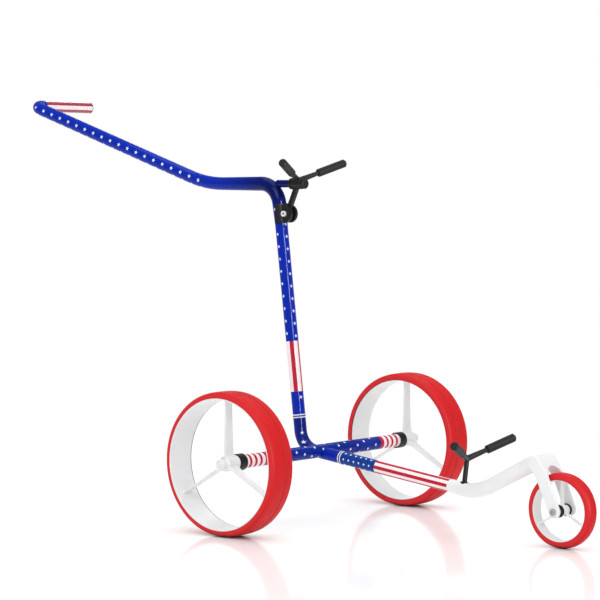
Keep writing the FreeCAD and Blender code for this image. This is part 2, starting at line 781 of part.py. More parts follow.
def rear_rim():
    centre = at_rear(wheel_y)
    outer = rear_wheel_radius - rear_tyre_thickness
    half = rear_rim_width / 2
    barrel = sleeve(outer, outer - rim_wall, at_rear(wheel_y - half), at_rear(wheel_y + half))
    hub_outer = wheel_y + rear_hub_outer_face
    nose_end = hub_outer + rear_nose_length
    profile = [(hub_inner_face, 0), (hub_inner_face, rear_hub_radius - 1),
               (hub_inner_face + 1, rear_hub_radius),
               (hub_outer - 2, rear_hub_radius), (hub_outer, rear_hub_radius - 2),
               (hub_outer, rear_nose_radius), (nose_end - nose_rounding, rear_nose_radius),
               (nose_end - nose_rounding / 3, rear_nose_radius - nose_rounding / 3),
               (nose_end, rear_nose_radius - nose_rounding), (nose_end, 0)]
    hub = turned(profile, rear_axle, Y_AXIS)
    blades = spokes(centre, rear_hub_radius - 2, outer - rim_wall / 2, rear_spoke_root_width,
                    rear_spoke_tip_width, spoke_thickness)
    body = barrel.multiFuse([hub] + blades).removeSplitter()
    room_foot = drive_shaft_end + shaft_end_gap
    bore = drive_section(wheel_fit, hub_inner_face - 1, room_foot)
    button_room = rod(release_button_radius + slide_fit, at_rear(room_foot), at_rear(nose_end + 1))
    return body.cut(bore).cut(button_room)


def rear_tyre():
    half_width = rear_rim_width / 2 + tyre_bulge
    return tyre(at_rear(wheel_y), rear_wheel_radius, rear_tyre_thickness, half_width)


def release_button():
    foot = drive_shaft_end + shaft_end_gap + button_foot_gap + release_travel
    top = wheel_y + rear_hub_outer_face + rear_nose_length + release_dome
    profile = [(foot, 0), (foot, release_button_radius), (top - release_dome, release_button_radius),
               (top, release_button_radius - release_dome), (top, 0)]
    return turned(profile, rear_axle, Y_AXIS)


def front_rim():
    outer = front_wheel_radius - front_tyre_thickness
    half = front_rim_width / 2
    barrel = sleeve(outer, outer - rim_wall, at_front(-half), at_front(half))
    hub = rod(front_hub_radius, at_front(-front_hub_half_width), at_front(front_hub_half_width))
    blades = spokes(front_axle, front_hub_radius - spoke_root_depth, outer - rim_wall / 2, front_spoke_width,
                    front_spoke_width, front_spoke_thickness)
    body = barrel.multiFuse([hub] + blades).removeSplitter()
    bore_radius = front_axle_radius + axle_clearance
    bore = rod(bore_radius, at_front(-front_hub_half_width), at_front(front_hub_half_width))
    seats = [rod(front_bearing_radius, at_front(side * (front_hub_half_width - front_bearing_width)),
                 at_front(side * front_hub_half_width)) for side in (1, -1)]
    return body.cut(bore).cut(seats[0]).cut(seats[1])


def front_tyre():
    return tyre(front_axle, front_wheel_radius, front_tyre_thickness, front_rim_width / 2 + tyre_bulge)


def front_bearings():
    """Two wheel bearings, each with its black seal flange against the hub's end."""
    bearings = []
    for side in (1, -1):
        inner = side * (front_hub_half_width - front_bearing_width)
        edge = side * front_hub_half_width
        outer = side * (front_hub_half_width + seal_flange_thickness)
        body = rod(front_bearing_radius, at_front(inner), at_front(edge))
        body = body.fuse(rod(seal_flange_radius, at_front(edge), at_front(outer))).removeSplitter()
        bearings.append(body.cut(rod(front_axle_radius + running_fit, at_front(inner), at_front(outer))))
    return Part.makeCompound(bearings)


# ---- Lower bag cradle ----
def lower_cradle():
    foot = stalk_foot - front_normal * (socket_depth - slide_fit)
    stalk = rod(stalk_radius, foot, stalk_top)
    arms = cradle_arm(stalk_top, 1) + cradle_arm(stalk_top, -1)
    root_ball = Part.makeSphere(arm_root_radius, stalk_top)
    return stalk.multiFuse([root_ball] + arms).removeSplitter()


# ---- Drive units, left side ----
shaft_bearing_y = collar_outer_face - bearing_width - collar_end_wall
inner_bearing_y = shaft_bearing_y - bearing_pitch
carrier_y = inner_bearing_y - stage_gap - carrier_thickness
gear_start_y = carrier_y - stage_gap - gear_width
motor_front_y = gear_start_y - stage_gap
motor_rear_y = motor_front_y - motor_length


def axle_collar():
    """Black end collar that holds the outer shaft bearing."""
    tube_end = at_rear(axle_tube_half_length)
    body = rod(collar_radius, at_rear(collar_inner_face), at_rear(collar_outer_face))
    body = body.cut(rod(axle_tube_radius, at_rear(collar_inner_face), tube_end))
    body = body.cut(rod(bearing_radius, tube_end, at_rear(shaft_bearing_y + bearing_width)))
    return body.cut(rod(drive_shaft_radius + seal_gap, tube_end, at_rear(collar_outer_face)))


def shaft_bearings():
    rings = []
    for start in (inner_bearing_y, shaft_bearing_y):
        rings.append(sleeve(bearing_radius, drive_shaft_radius + running_fit, at_rear(start),
                            at_rear(start + bearing_width)))
    return Part.makeCompound(rings)


def gear_outline(teeth, phase, internal):
    """Closed polygon of straight-sided teeth about the origin of the XZ plane."""
    pitch_radius = gear_module * teeth / 2
    outward = -1 if internal else 1
    tip = pitch_radius + outward * addendum
    root = pitch_radius - outward * dedendum
    half_tooth = math.pi * gear_module * tooth_share / 4
    slope = math.tan(pressure_angle)
    tip_half = (half_tooth - addendum * slope) / tip
    root_half = (half_tooth + dedendum * slope) / root
    corners = []
    for index in range(teeth):
        middle = phase + 2 * math.pi * index / teeth
        for radius, offset in ((root, -root_half), (tip, -tip_half), (tip, tip_half), (root, root_half)):
            angle = middle + offset
            corners.append(Vector(radius * math.cos(angle), 0, radius * math.sin(angle)))
    return corners


def gear_blank(teeth, phase, internal, centre, width):
    points = [centre + corner for corner in gear_outline(teeth, phase, internal)]
    return Part.Face(Part.makePolygon(points + [points[0]])).extrude(Y_AXIS * width)


def ring_gear():
    end = axle_tube_half_length
    body = rod(axle_bore, at_rear(motor_front_y), at_rear(end))
    teeth_length = carrier_y - stage_gap / 2 - motor_front_y
    teeth_room = gear_blank(ring_teeth, 0.0, True, at_rear(motor_front_y), teeth_length)
    carrier_room = rod(carrier_radius + stage_gap, at_rear(motor_front_y), at_rear(inner_bearing_y))
    bearing_room = rod(bearing_radius, at_rear(inner_bearing_y), at_rear(end))
    return body.cut(teeth_room).cut(carrier_room).cut(bearing_room)


def planet_centre(index):
    angle = 2 * math.pi * index / planet_count
    reach = gear_module * (sun_teeth + planet_teeth) / 2
    return Vector(math.cos(angle), 0, math.sin(angle)) * reach


def planet_gear(index):
    middle = at_rear(gear_start_y) + planet_centre(index)
    phase = 2 * math.pi * index / planet_count + math.pi / planet_teeth
    body = gear_blank(planet_teeth, phase, False, middle, gear_width)
    return body.cut(rod(planet_pin_radius + running_fit, middle, middle + Y_AXIS * gear_width))


def drive_shaft():
    """Planet carrier and output shaft in one piece."""
    carrier = rod(carrier_radius, at_rear(carrier_y), at_rear(carrier_y + carrier_thickness))
    round_part = rod(drive_shaft_radius, at_rear(carrier_y), at_rear(collar_outer_face))
    flat_part = drive_section(0.0, collar_outer_face, drive_shaft_end)
    pins = []
    for index in range(planet_count):
        middle = planet_centre(index)
        pin_foot = at_rear(gear_start_y) + middle
        pin_end = pin_foot + Y_AXIS * (gear_width + carrier_thickness / 2)
        pins.append(rod(planet_pin_radius, pin_foot, pin_end))
    return carrier.multiFuse([round_part, flat_part] + pins).removeSplitter()


def motor_housing():
    outer = rod(axle_bore, at_rear(motor_rear_y), at_rear(motor_front_y))
    hollow = rod(axle_bore - motor_wall, at_rear(motor_rear_y + motor_end_wall),
                 at_rear(motor_front_y - motor_end_wall))
    body = outer.cut(hollow)
    for start, end in motor_bearing_places():
        boss = rod(motor_bearing_radius + motor_boss_wall, at_rear(start), at_rear(end))
        body = body.fuse(boss)
    for start, end in motor_bearing_places():
        body = body.cut(rod(motor_bearing_radius, at_rear(start), at_rear(end)))
    inside = at_rear(motor_rear_y + motor_end_wall)
    shaft_hole = rod(rotor_shaft_radius + stage_gap, inside, at_rear(motor_front_y))
    return body.removeSplitter().cut(shaft_hole)


def motor_bearing_places():
    rear = motor_rear_y + motor_end_wall
    front = motor_front_y - motor_end_wall
    return [(rear, rear + motor_bearing_width), (front - motor_bearing_width, front)]


def motor_bearings():
    rings = [sleeve(motor_bearing_radius, rotor_shaft_radius + running_fit, at_rear(start), at_rear(end))
             for start, end in motor_bearing_places()]
    return Part.makeCompound(rings)


def rotor_start_y():
    return (motor_rear_y + motor_front_y - rotor_length) / 2


def stator():
    start = at_rear(rotor_start_y())
    return sleeve(axle_bore - motor_wall, rotor_radius + air_gap, start, start + Y_AXIS * rotor_length)


def rotor():
    """Magnet body, motor shaft and sun gear in one piece."""
    start = rotor_start_y()
    magnet = rod(rotor_radius, at_rear(start), at_rear(start + rotor_length))
    shaft_foot = at_rear(motor_rear_y + motor_end_wall + stage_gap)
    shaft = rod(rotor_shaft_radius, shaft_foot, at_rear(gear_start_y))
    sun = gear_blank(sun_teeth, 0.0, False, at_rear(gear_start_y), gear_width)
    return magnet.multiFuse([shaft, sun]).removeSplitter()


# ---- Electronics ----
def motor_controller():
    """Circuit board with its power stage and capacitors, resting across the axle tube."""
    half_width = math.sqrt(axle_bore ** 2 - board_drop ** 2) - board_side_gap
    bottom = rear_axle_z - board_drop
    board = Part.makeBox(2 * half_width, 2 * controller_half_length, board_thickness,
                         Vector(-half_width, -controller_half_length, bottom))
    top = bottom + board_thickness
    power_stage = Part.makeBox(power_stage_width, power_stage_length, power_stage_height,
                               Vector(-power_stage_width / 2, power_stage_y, top))
    processor = Part.makeBox(processor_width, processor_width, processor_height,
                             Vector(-processor_width / 2, processor_y, top))
    parts = [power_stage, processor]
    for place in capacitor_y:
        foot = Vector(0, place, top)
        parts.append(rod(capacitor_radius, foot, foot + Z_AXIS * capacitor_height))
    return board.multiFuse(parts).removeSplitter()


def motor_leads():
    height = rear_axle_z - board_drop
    leads = []
    for side in (1, -1):
        start = Vector(0, side * controller_half_length, height)
        end = Vector(0, side * motor_rear_y, height)
        leads.append(rod(lead_radius, start, end))
    return Part.makeCompound(leads)


def battery_socket():
    """Round power inlet on the back of the axle tube."""
    root = Vector(0, socket_y, rear_axle_z)
    face = root - X_AXIS * battery_socket_face
    body = rod(battery_socket_radius, root, face).cut(axle_tube_solid())
    bore = rod(battery_bore_radius, face + X_AXIS * battery_bore_depth, face - X_AXIS)
    return body.cut(bore)


def axle_tube_solid():
    return rod(axle_tube_radius, at_rear(-axle_tube_half_length), at_rear(axle_tube_half_length))


# ---- Every node ----
left_pieces = {
    "axle_collar": axle_collar,
    "shaft_bearings": shaft_bearings,
    "ring_gear": ring_gear,
    "drive_shaft": drive_shaft,
    "motor_housing": motor_housing,
    "motor_bearings": motor_bearings,
    "motor_stator": stator,
    "motor_rotor": rotor,
    "rear_rim": rear_rim,
    "rear_tyre": rear_tyre,
    "release_button": release_button,
}
single_pieces = {
    "axle_tube": axle_tube,
    "frame_elbow": frame_elbow,
    "front_stub": front_stub,
    "motor_controller": motor_controller,
    "motor_leads": motor_leads,
    "battery_socket": battery_socket,
    "shaft_tube": shaft_tube,
    "handle_grip": grip,
    "control_housing": control_housing,
    "speed_dial": speed_dial,
    "power_button": power_button,
    "stub_collar": stub_collar,
    "cradle_bracket": cradle_bracket,
    "cradle_pivot_bolt": cradle_pivot_bolt,
    "cradle_pivot_nut": cradle_pivot_nut,
    "upper_cradle": upper_cradle,
    "cradle_knob": cradle_knob,
    "front_tube": front_tube,
    "front_fork": front_fork,
    "stalk_socket": stalk_socket,
    "front_axle_bolt": front_axle_bolt,
    "front_axle_nut": front_axle_nut,
    "front_spacers": front_spacers,
    "front_rim": front_rim,
    "front_tyre": front_tyre,
    "front_bearings": front_bearings,
    "lower_cradle": lower_cradle,
}


def build():
    nodes = {name: make() for name, make in single_pieces.items()}
    nodes["shaft_joint_ring"] = trim_ring(shaft_joint, shaft_up)
    nodes["front_joint_ring"] = trim_ring(front_joint, front_out)
    nodes["upper_cradle_sleeves"] = arm_sleeves(arm_root_upper)
    nodes["lower_cradle_sleeves"] = arm_sleeves(stalk_top)
    for name, make in left_pieces.items():
        shape = make()
        nodes["left_" + name] = shape
        nodes["right_" + name] = mirrored(shape)
    for index in range(planet_count):
        shape = planet_gear(index)
        nodes["left_planet_gear_%d" % (index + 1)] = shape
        nodes["right_planet_gear_%d" % (index + 1)] = mirrored(shape)
    return nodes


def write(nodes):
    os.makedirs("parts", exist_ok=True)
    for name, shape in sorted(nodes.items()):
        shape.translate(Vector(-origin_x, 0, 0))
        shape.exportStep("parts/" + name + ".step")
        print(name, len(shape.Solids), round(shape.Volume / 1000, 2), "cm3", shape.isValid())


write(build())
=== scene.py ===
import json
import math
import bmesh
import bpy
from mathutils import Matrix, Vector


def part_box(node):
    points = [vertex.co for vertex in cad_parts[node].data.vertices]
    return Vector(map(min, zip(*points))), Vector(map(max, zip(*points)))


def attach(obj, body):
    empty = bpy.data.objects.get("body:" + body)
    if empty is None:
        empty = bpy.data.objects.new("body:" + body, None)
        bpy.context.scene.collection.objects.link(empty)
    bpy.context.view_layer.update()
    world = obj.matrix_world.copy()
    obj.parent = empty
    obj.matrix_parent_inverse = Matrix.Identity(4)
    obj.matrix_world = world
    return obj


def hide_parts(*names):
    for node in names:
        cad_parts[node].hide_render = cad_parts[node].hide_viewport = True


# Looks of a three-wheeled electric golf trolley. The scene is in metres, so lengths are written
# as so many times MM. Places are measured from the middle of the axle tube and of other solids.

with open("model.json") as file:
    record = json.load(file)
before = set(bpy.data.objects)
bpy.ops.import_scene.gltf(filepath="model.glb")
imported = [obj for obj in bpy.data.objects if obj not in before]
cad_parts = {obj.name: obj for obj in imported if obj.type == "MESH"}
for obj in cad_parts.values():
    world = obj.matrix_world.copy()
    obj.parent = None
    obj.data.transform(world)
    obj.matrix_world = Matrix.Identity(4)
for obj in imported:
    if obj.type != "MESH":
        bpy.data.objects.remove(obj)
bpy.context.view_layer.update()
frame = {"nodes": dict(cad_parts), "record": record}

MM = 0.001
TURN = 2 * math.pi


# ---- Places on the trolley ----
def middle(node):
    low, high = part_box(node)
    return (low + high) / 2


AXLE = middle("axle_tube")                  # point on the rear axle's line, in the middle plane
FRONT_AXLE = middle("front_rim")


def from_axle(x, z):
    """Point of the middle plane, from millimetres ahead of the rear axle and above the floor."""
    return Vector((AXLE.x + x * MM, 0.0, z * MM))


LEAN = math.radians(6.96)                   # of the shaft, backward
DROOP = math.radians(7.18)                  # of the front tube
SHAFT_UP = Vector((-math.sin(LEAN), 0, math.cos(LEAN)))
SHAFT_FRONT = Vector((math.cos(LEAN), 0, math.sin(LEAN)))
TUBE_OUT = Vector((math.cos(DROOP), 0, -math.sin(DROOP)))
TUBE_UP = Vector((math.sin(DROOP), 0, math.cos(DROOP)))
ELBOW = from_axle(-53.5, 148.0)
SHAFT_JOINT = ELBOW + SHAFT_UP * (70.5 * MM)
SWEEP_CORNER = from_axle(-324.0, 703.0)
HANDLE_CORNER = from_axle(-862.0, 881.0)
SLOPE = (SWEEP_CORNER - HANDLE_CORNER).normalized()
SLOPE_UP = Vector((-SLOPE.z, 0, SLOPE.x))
RIGHT = Vector((0, -1, 0))
LEFT = Vector((0, 1, 0))
FORWARD = Vector((1, 0, 0))
UP = Vector((0, 0, 1))
SHAFT_RADIUS = 13.3 * MM                    # round which the patterns of shaft and front tube run
SLOPING_RADIUS = 13.85 * MM                 # the same for the shaft's sloping part

# ---- Colours ----
ROYAL_BLUE = (0.002, 0.022, 0.38)
AXLE_BLUE = (0.003, 0.020, 0.26)
ELBOW_BLUE = (0.003, 0.014, 0.21)
# painted shade: the darker blue that stands for the shade over the shaft's top bend
TOP_BEND_SHADE_BLUE = (0.001, 0.006, 0.10)
CANTON_BLUE = (0.006, 0.045, 0.27)
STAR_WHITE = (0.84, 0.86, 0.90)
FLAG_RED = (0.50, 0.020, 0.045)
FLAG_WHITE = (0.97, 0.83, 0.84)
LACQUER_CLEAR = (1.0, 1.0, 1.0)
LACQUER_CLOUDY = (0.62, 0.66, 0.72)
GRIP_RED = (0.34, 0.030, 0.055)
GRIP_EDGE = (0.10, 0.03, 0.02)
TRIM_BRIGHT = (0.78, 0.80, 0.86)
TRIM_BLUE = (0.003, 0.014, 0.20)
TYRE_RED = (0.64, 0.008, 0.010)
TYRE_SIDE = (0.62, 0.022, 0.026)
# darker red of the mould's streaks, and of the painted shade along the tread's groove
STREAK_AND_SHADE_RED = (0.44, 0.006, 0.010)
TYRE_CONTACT_SHADOW = (0.10, 0.004, 0.004)            # painted contact shadow where the tyre meets the ground
# the tyre's inboard lip, darkened as painted shade
TYRE_LIP_IN_SHADE = (0.16, 0.012, 0.016)
GLOSS_WHITE = (0.83, 0.835, 0.84)
SOFT_WHITE = (0.79, 0.795, 0.80)
BOLT_BRIGHT = (0.84, 0.84, 0.83)
BOLT_DULL = (0.66, 0.66, 0.66)
# painted shade that stands for the bolt head's socket
SOCKET_SHADE = (0.02, 0.02, 0.02)
SATIN_BLACK = (0.007, 0.007, 0.008)


# ---- Node trees ----
class Term:
    """A socket of a node tree. Arithmetic on it adds Math nodes."""

    def __init__(self, tree, socket):
        self.tree = tree
        self.socket = socket

    def math(self, operation, *others, first=None):
        values = [self if first is None else first, *others]
        return self.tree.node("ShaderNodeMath", {"operation": operation}, dict(enumerate(values)))

    def __add__(self, other):
        return self.math("ADD", other)

    def __sub__(self, other):
        return self.math("SUBTRACT", other)

    def __mul__(self, other):
        return self.math("MULTIPLY", other)

    def __truediv__(self, other):
        return self.math("DIVIDE", other)

    def __pow__(self, other):
        return self.math("POWER", other)

    def __rsub__(self, other):
        return self.math("SUBTRACT", self, first=other)

    __radd__ = __add__
    __rmul__ = __mul__

    def above(self, edge):
        return self.math("GREATER_THAN", edge)

    def below(self, edge):
        return self.math("LESS_THAN", edge)

    def either(self, other):
        return self.math("MAXIMUM", other)

    def eased(self, low, high):
        """0 up to low, 1 from high on, with a smooth ramp between them."""
        return self.tree.node("ShaderNodeMapRange", {"interpolation_type": "SMOOTHSTEP"},
                              {"Value": self, "From Min": low, "From Max": high})


class Tree:
    """Builds a node tree; a node's inputs are numbers, colours or other nodes' outputs."""

    def __init__(self, node_tree):
        self.nodes = node_tree.nodes
        self.links = node_tree.links

    def node(self, kind, settings=None, inputs=None, output=0):
        made = self.nodes.new(kind)
        for name, value in (settings or {}).items():
            setattr(made, name, value)
        for key, value in (inputs or {}).items():
            self.feed(made.inputs[key], value)
        return Term(self, made.outputs[output])

    def feed(self, entry, value):
        if isinstance(value, Term):
            self.links.new(value.socket, entry)
        elif entry.type == "RGBA" and len(value) == 3:
            entry.default_value = (*value, 1.0)
        else:
            entry.default_value = value

    def split(self, vector):
        made = self.node("ShaderNodeSeparateXYZ", None, {0: vector})
        return [Term(self, socket) for socket in made.socket.node.outputs]

    def join(self, x, y, z):
        return self.node("ShaderNodeCombineXYZ", None, {0: x, 1: y, 2: z})

    def position(self):
        return self.node("ShaderNodeTexCoord", output="Object")

    def along(self, vector, origin, direction):
        """How far a point lies from the origin along a direction, in metres."""
        offset = self.node("ShaderNodeVectorMath", {"operation": "SUBTRACT"},
                           {0: vector, 1: tuple(origin)})
        return self.node("ShaderNodeVectorMath", {"operation": "DOT_PRODUCT"},
                         {0: offset, 1: tuple(direction)}, output="Value")

    def noise(self, vector, scale, detail=2.0, stretch=(1, 1, 1)):
        place = self.node("ShaderNodeMapping", {"vector_type": "POINT"},
                          {"Vector": vector, "Scale": stretch})
        return self.node("ShaderNodeTexNoise", None,
                         {"Vector": place, "Scale": scale, "Detail": detail})

    def colours(self, blend_type, factor, first, second):
        return self.node("ShaderNodeMix", {"data_type": "RGBA", "blend_type": blend_type},
                         {0: factor, 6: first, 7: second}, output=2)

    def blend(self, factor, first, second):
        """Colour that goes from the first to the second as the factor goes from 0 to 1."""
        return self.colours("MIX", factor, first, second)

    def bump(self, height, distance, strength=1.0):
        return self.node("ShaderNodeBump", None,
                         {"Height": height, "Distance": distance, "Strength": strength}, "Normal")


def new_tree(owner):
    """Tree of a material or a world, with the two nodes that it starts with."""
    owner.use_nodes = True
    return Tree(owner.node_tree)


def distance_round(tree, place, origin, across, along):
    """How far a point lies from a line that passes through the origin, square to both directions."""
    first = tree.along(place, origin, across)
    second = tree.along(place, origin, along)
    return (first * first + second * second).math("SQRT")


def finish_material(name, paint, **fixed):
    """Material whose shader takes fixed numbers, and the varying inputs that paint(tree) returns."""
    material = bpy.data.materials.new(name)
    tree = new_tree(material)
    shader = tree.nodes["Principled BSDF"]
    for key, value in fixed.items():
        shader.inputs[key.replace("_", " ")].default_value = value
    for key, value in paint(tree).items():
        tree.links.new(value.socket, shader.inputs[key])
    return material


# ---- Painted patterns ----
def turn_about(tree, place, origin, zero, quarter):
    """Angle of a point round a tube's line: 0 towards zero, a quarter turn towards quarter."""
    return tree.along(place, origin, quarter).math("ARCTAN2", tree.along(place, origin, zero))


STAR_WAIST = 0.44                           # inner corners' share of the points' radius


def star(across, up, size):
    """Mask of a five-pointed star about the zero of two distances, with a point upward."""
    reach = (across * across + up * up).math("SQRT")
    sector = TURN / 5
    swing = across.math("ARCTAN2", up).math("FLOORED_MODULO", sector)
    fold = sector / 2 - (swing - sector / 2).math("ABSOLUTE")
    notch_x = STAR_WAIST * size * math.cos(sector / 2)
    notch_y = STAR_WAIST * size * math.sin(sector / 2)
    outside = (reach * fold.math("COSINE") - size) * notch_y \
        + reach * fold.math("SINE") * (size - notch_x)
    return outside.below(0.0)


def star_lattice(along, turn, first, row_step, next_row, size, radius, upright=False):
    """Stars wherever first + i * row_step + j * next_row, each given as (distance, angle).

    An upright star's point is along the tube, another star's point is round it.
    """
    determinant = row_step[0] * next_row[1] - row_step[1] * next_row[0]
    run = along - first[0]
    swing = turn - first[1]
    i = (run * next_row[1] - swing * next_row[0]) / determinant
    j = (swing * row_step[0] - run * row_step[1]) / determinant
    i = i - i.math("ROUND")
    j = j - j.math("ROUND")
    off_along = i * row_step[0] + j * next_row[0]
    off_round = (i * row_step[1] + j * next_row[1]) * radius
    return star(off_round, off_along, size) if upright else star(off_along, off_round, size)


def spot(distance, degrees):
    """Place on a tube: millimetres along it, and degrees round it."""
    return (distance * MM, math.radians(degrees))


LONE_STAR = 4.2 * MM


def lone_star(along, turn, place):
    return star((turn - place[1]) * SHAFT_RADIUS, along - place[0], LONE_STAR)


def stripes(turn, start, width, count):
    """Stripes that run along a tube: every second sector of the given width, count of them."""
    sector = ((turn - start).math("FLOORED_MODULO", TURN) / width).math("FLOOR")
    return sector.math("MODULO", 2.0).below(0.5) * sector.below(2 * count - 1)


def between(value, low, high):
    return value.above(low) * value.below(high)


def lacquer(tree, place, colour):
    """Glossy paint: faint cloudiness in the colour, orange peel in the surface."""
    cloud = tree.noise(place, 90.0)
    peel = tree.noise(place, 900.0, 1.0)
    dim = tree.blend(cloud * 0.35, LACQUER_CLEAR, LACQUER_CLOUDY)
    return {"Base Color": tree.colours("MULTIPLY", 1.0, colour, dim),
            "Roughness": cloud * 0.10 + 0.22,
            "Normal": tree.bump(peel, 0.03 * MM)}


# Millimetres out from the middle, where the colour changes.
AXLE_RING_EDGES = (185.0, 195.5, 204.5, 211.5, 220.5, 227.5, 236.5, 243.5, 253.0)
AXLE_STAR = 3.9 * MM
AXLE_TUBE_RADIUS = 14.0 * MM
LEFT_STARS = (spot(79.5, 13), spot(24.6, -28.4), spot(36.9, 47.4))      # first, and the two steps
RIGHT_STARS = (spot(72.0, 3), spot(24.8, -26.4), spot(37.2, 50.4))


def axle_paint(tree):
    """Stars on blue, and red and white rings towards both ends."""
    place = tree.position()
    leftward = tree.along(place, AXLE, LEFT)
    turn = turn_about(tree, place, AXLE, FORWARD, -UP)
    out = leftward.math("ABSOLUTE")
    left = star_lattice(out, turn, *LEFT_STARS, AXLE_STAR, AXLE_TUBE_RADIUS)
    right = star_lattice(out, turn, *RIGHT_STARS, AXLE_STAR, AXLE_TUBE_RADIUS)
    stars = left * leftward.above(0.0) + right * leftward.below(0.0)
    edges = [out.above(edge * MM) for edge in AXLE_RING_EDGES]
    passed = edges[0]
    for edge in edges[1:]:
        passed = passed + edge
    red = passed.math("MODULO", 2.0).above(0.5)
    blue = tree.blend(stars, AXLE_BLUE, STAR_WHITE)
    rings = tree.blend(red, FLAG_WHITE, FLAG_RED)
    return lacquer(tree, place, tree.blend(edges[0], blue, rings))


STRIPES_START = 47.8 * MM                   # up the shaft from its joint
STRIPES_END = 154.5 * MM
SHAFT_STARS_END = 450.0 * MM
UPRIGHT_STAR = 4.0 * MM
UPRIGHT_FIRST = spot(217.3, -8)             # the negative angle is towards the right
UPRIGHT_PITCH = 26.3 * MM
LOW_STAR = spot(35.4, -16.1)
SLOPING_STAR = 4.9 * MM
SLOPING_FIRST = spot(18.6, 12)              # down the sloping part from the handle's corner
UNDER_FIRST = spot(25.6, -60)
SLOPING_PITCH = 28.1 * MM
NEAR_BEND = 8.0 * MM                        # the sloping part's stars start here
SWEEP_END = 571.0 * MM                      # they end here, and the painted shade of the top bend begins
SWEEP_SHADE_END = 760.0 * MM                # the painted shade over the top bend is full from here on
BEND_BACK = 6.5 * MM                        # the bend's stars are farther back than this
BEND_STARS = ((4.5 * MM, 5.0 * MM), (5.5 * MM, -6.5 * MM))      # rightward, up
STRIPE_WIDTH = math.radians(40)
SHAFT_STRIPES_TURN = math.radians(-77.5)
BEND_SHADE_START = 400.0 * MM               # up the shaft from its joint
BEND_SHADE_END = 470.0 * MM


def shaft_paint(tree):
    """Blue with stars up both long runs, a band of red and white stripes low down, and painted shade
    darkening the blue over the top bend.
    """
    place = tree.position()
    rise = tree.along(place, SHAFT_JOINT, SHAFT_UP)
    turn = turn_about(tree, place, SHAFT_JOINT, SHAFT_FRONT, LEFT)
    upright = star_lattice(rise, turn, UPRIGHT_FIRST, (UPRIGHT_PITCH, 0.0),
                           (-UPRIGHT_PITCH / 4, TURN / 4), UPRIGHT_STAR, SHAFT_RADIUS, upright=True)
    upright = upright * between(rise, STRIPES_END, SHAFT_STARS_END)
    low_star = lone_star(rise, turn, LOW_STAR)
    run = tree.along(place, HANDLE_CORNER, SLOPE)
    roll = turn_about(tree, place, HANDLE_CORNER, RIGHT, SLOPE_UP)
    sloping = star_lattice(run, roll, SLOPING_FIRST, (SLOPING_PITCH, 0.0),
                           (SLOPING_PITCH / 4, TURN / 4), SLOPING_STAR, SLOPING_RADIUS)
    under = star_lattice(run, roll, UNDER_FIRST, (SLOPING_PITCH, 0.0),
                         (0.0, TURN), SLOPING_STAR, SLOPING_RADIUS)
    facing = roll.math("COSINE").above(0.0)
    sloping = (sloping * facing).either(under) * between(run, NEAR_BEND, SWEEP_END)
    aside = tree.along(place, HANDLE_CORNER, RIGHT)
    height = tree.along(place, HANDLE_CORNER, UP)
    behind = tree.along(place, HANDLE_CORNER, -FORWARD).above(BEND_BACK)
    first, second = [star(aside - rightward, height - up, LONE_STAR) for rightward, up in BEND_STARS]
    stars = upright.either(low_star).either(sloping.either(first.either(second) * behind))
    # painted shade: the blue turns deep blue over the top bend, where the tube lies in shade
    top_bend_shade = run.eased(SWEEP_END, SWEEP_SHADE_END) * rise.eased(BEND_SHADE_START, BEND_SHADE_END)
    blue = tree.blend(stars, tree.blend(top_bend_shade, ROYAL_BLUE, TOP_BEND_SHADE_BLUE), STAR_WHITE)
    red = stripes(turn, SHAFT_STRIPES_TURN, STRIPE_WIDTH, 4)
    flag = tree.blend(red, FLAG_WHITE, FLAG_RED)
    striped = between(rise, STRIPES_START, STRIPES_END)
    return lacquer(tree, place, tree.blend(striped, blue, flag))


ELBOW_STARS = (spot(31.0, -38.9), spot(11.4, -38.6))


def elbow_paint(tree):
    place = tree.position()
    rise = tree.along(place, ELBOW, SHAFT_UP)
    turn = turn_about(tree, place, ELBOW, SHAFT_FRONT, LEFT)
    upper, lower = [lone_star(rise, turn, star_place) for star_place in ELBOW_STARS]
    return lacquer(tree, place, tree.blend(upper.either(lower), ELBOW_BLUE, STAR_WHITE))


CANTON_STAR = 3.0 * MM
CANTON_FIRST = spot(123.0, 2)               # along the front tube from the elbow's corner
CANTON_PITCH = 13.45 * MM
CANTON_STARS_END = 197 * MM
CANTON_END = 203.3 * MM
FRONT_STRIPES_TURN = math.radians(-10)


def front_tube_paint(tree):
    """A short blue field with stars, then stripes along the tube."""
    place = tree.position()
    along = tree.along(place, ELBOW, TUBE_OUT)
    turn = turn_about(tree, place, ELBOW, RIGHT, TUBE_UP)
    stars = star_lattice(along, turn, CANTON_FIRST, (CANTON_PITCH, 0.0),
                         (0.0, TURN / 6), CANTON_STAR, SHAFT_RADIUS) * along.below(CANTON_STARS_END)
    canton = tree.blend(stars, CANTON_BLUE, STAR_WHITE)
    red = stripes(turn, FRONT_STRIPES_TURN, TURN / 12, 6)
    flag = tree.blend(red, FLAG_WHITE, FLAG_RED)
    return lacquer(tree, place, tree.blend(along.above(CANTON_END), canton, flag))


RING_LINE_START = 1.4 * MM                  # to both sides of the ring's middle
RING_LINE_END = 3.8 * MM


def ring_paint(node, direction):
    """Blue trim ring with two fine bright lines round it."""
    def paint(tree):
        place = tree.position()
        off = tree.along(place, middle(node), direction).math("ABSOLUTE")
        lines = between(off, RING_LINE_START, RING_LINE_END)
        return lacquer(tree, place, tree.blend(lines, TRIM_BLUE, TRIM_BRIGHT))
    return paint


def blue_paint(tree):
    """Blue without stars, for the small pieces."""
    place = tree.position()
    return lacquer(tree, place, tree.blend(tree.noise(place, 300.0) * 0.4, ROYAL_BLUE, AXLE_BLUE))


GRIP_STRIPES_TURN = math.radians(-55)
GRIP_EDGE_START = 178.4 * MM                # leftward from the handle's corner


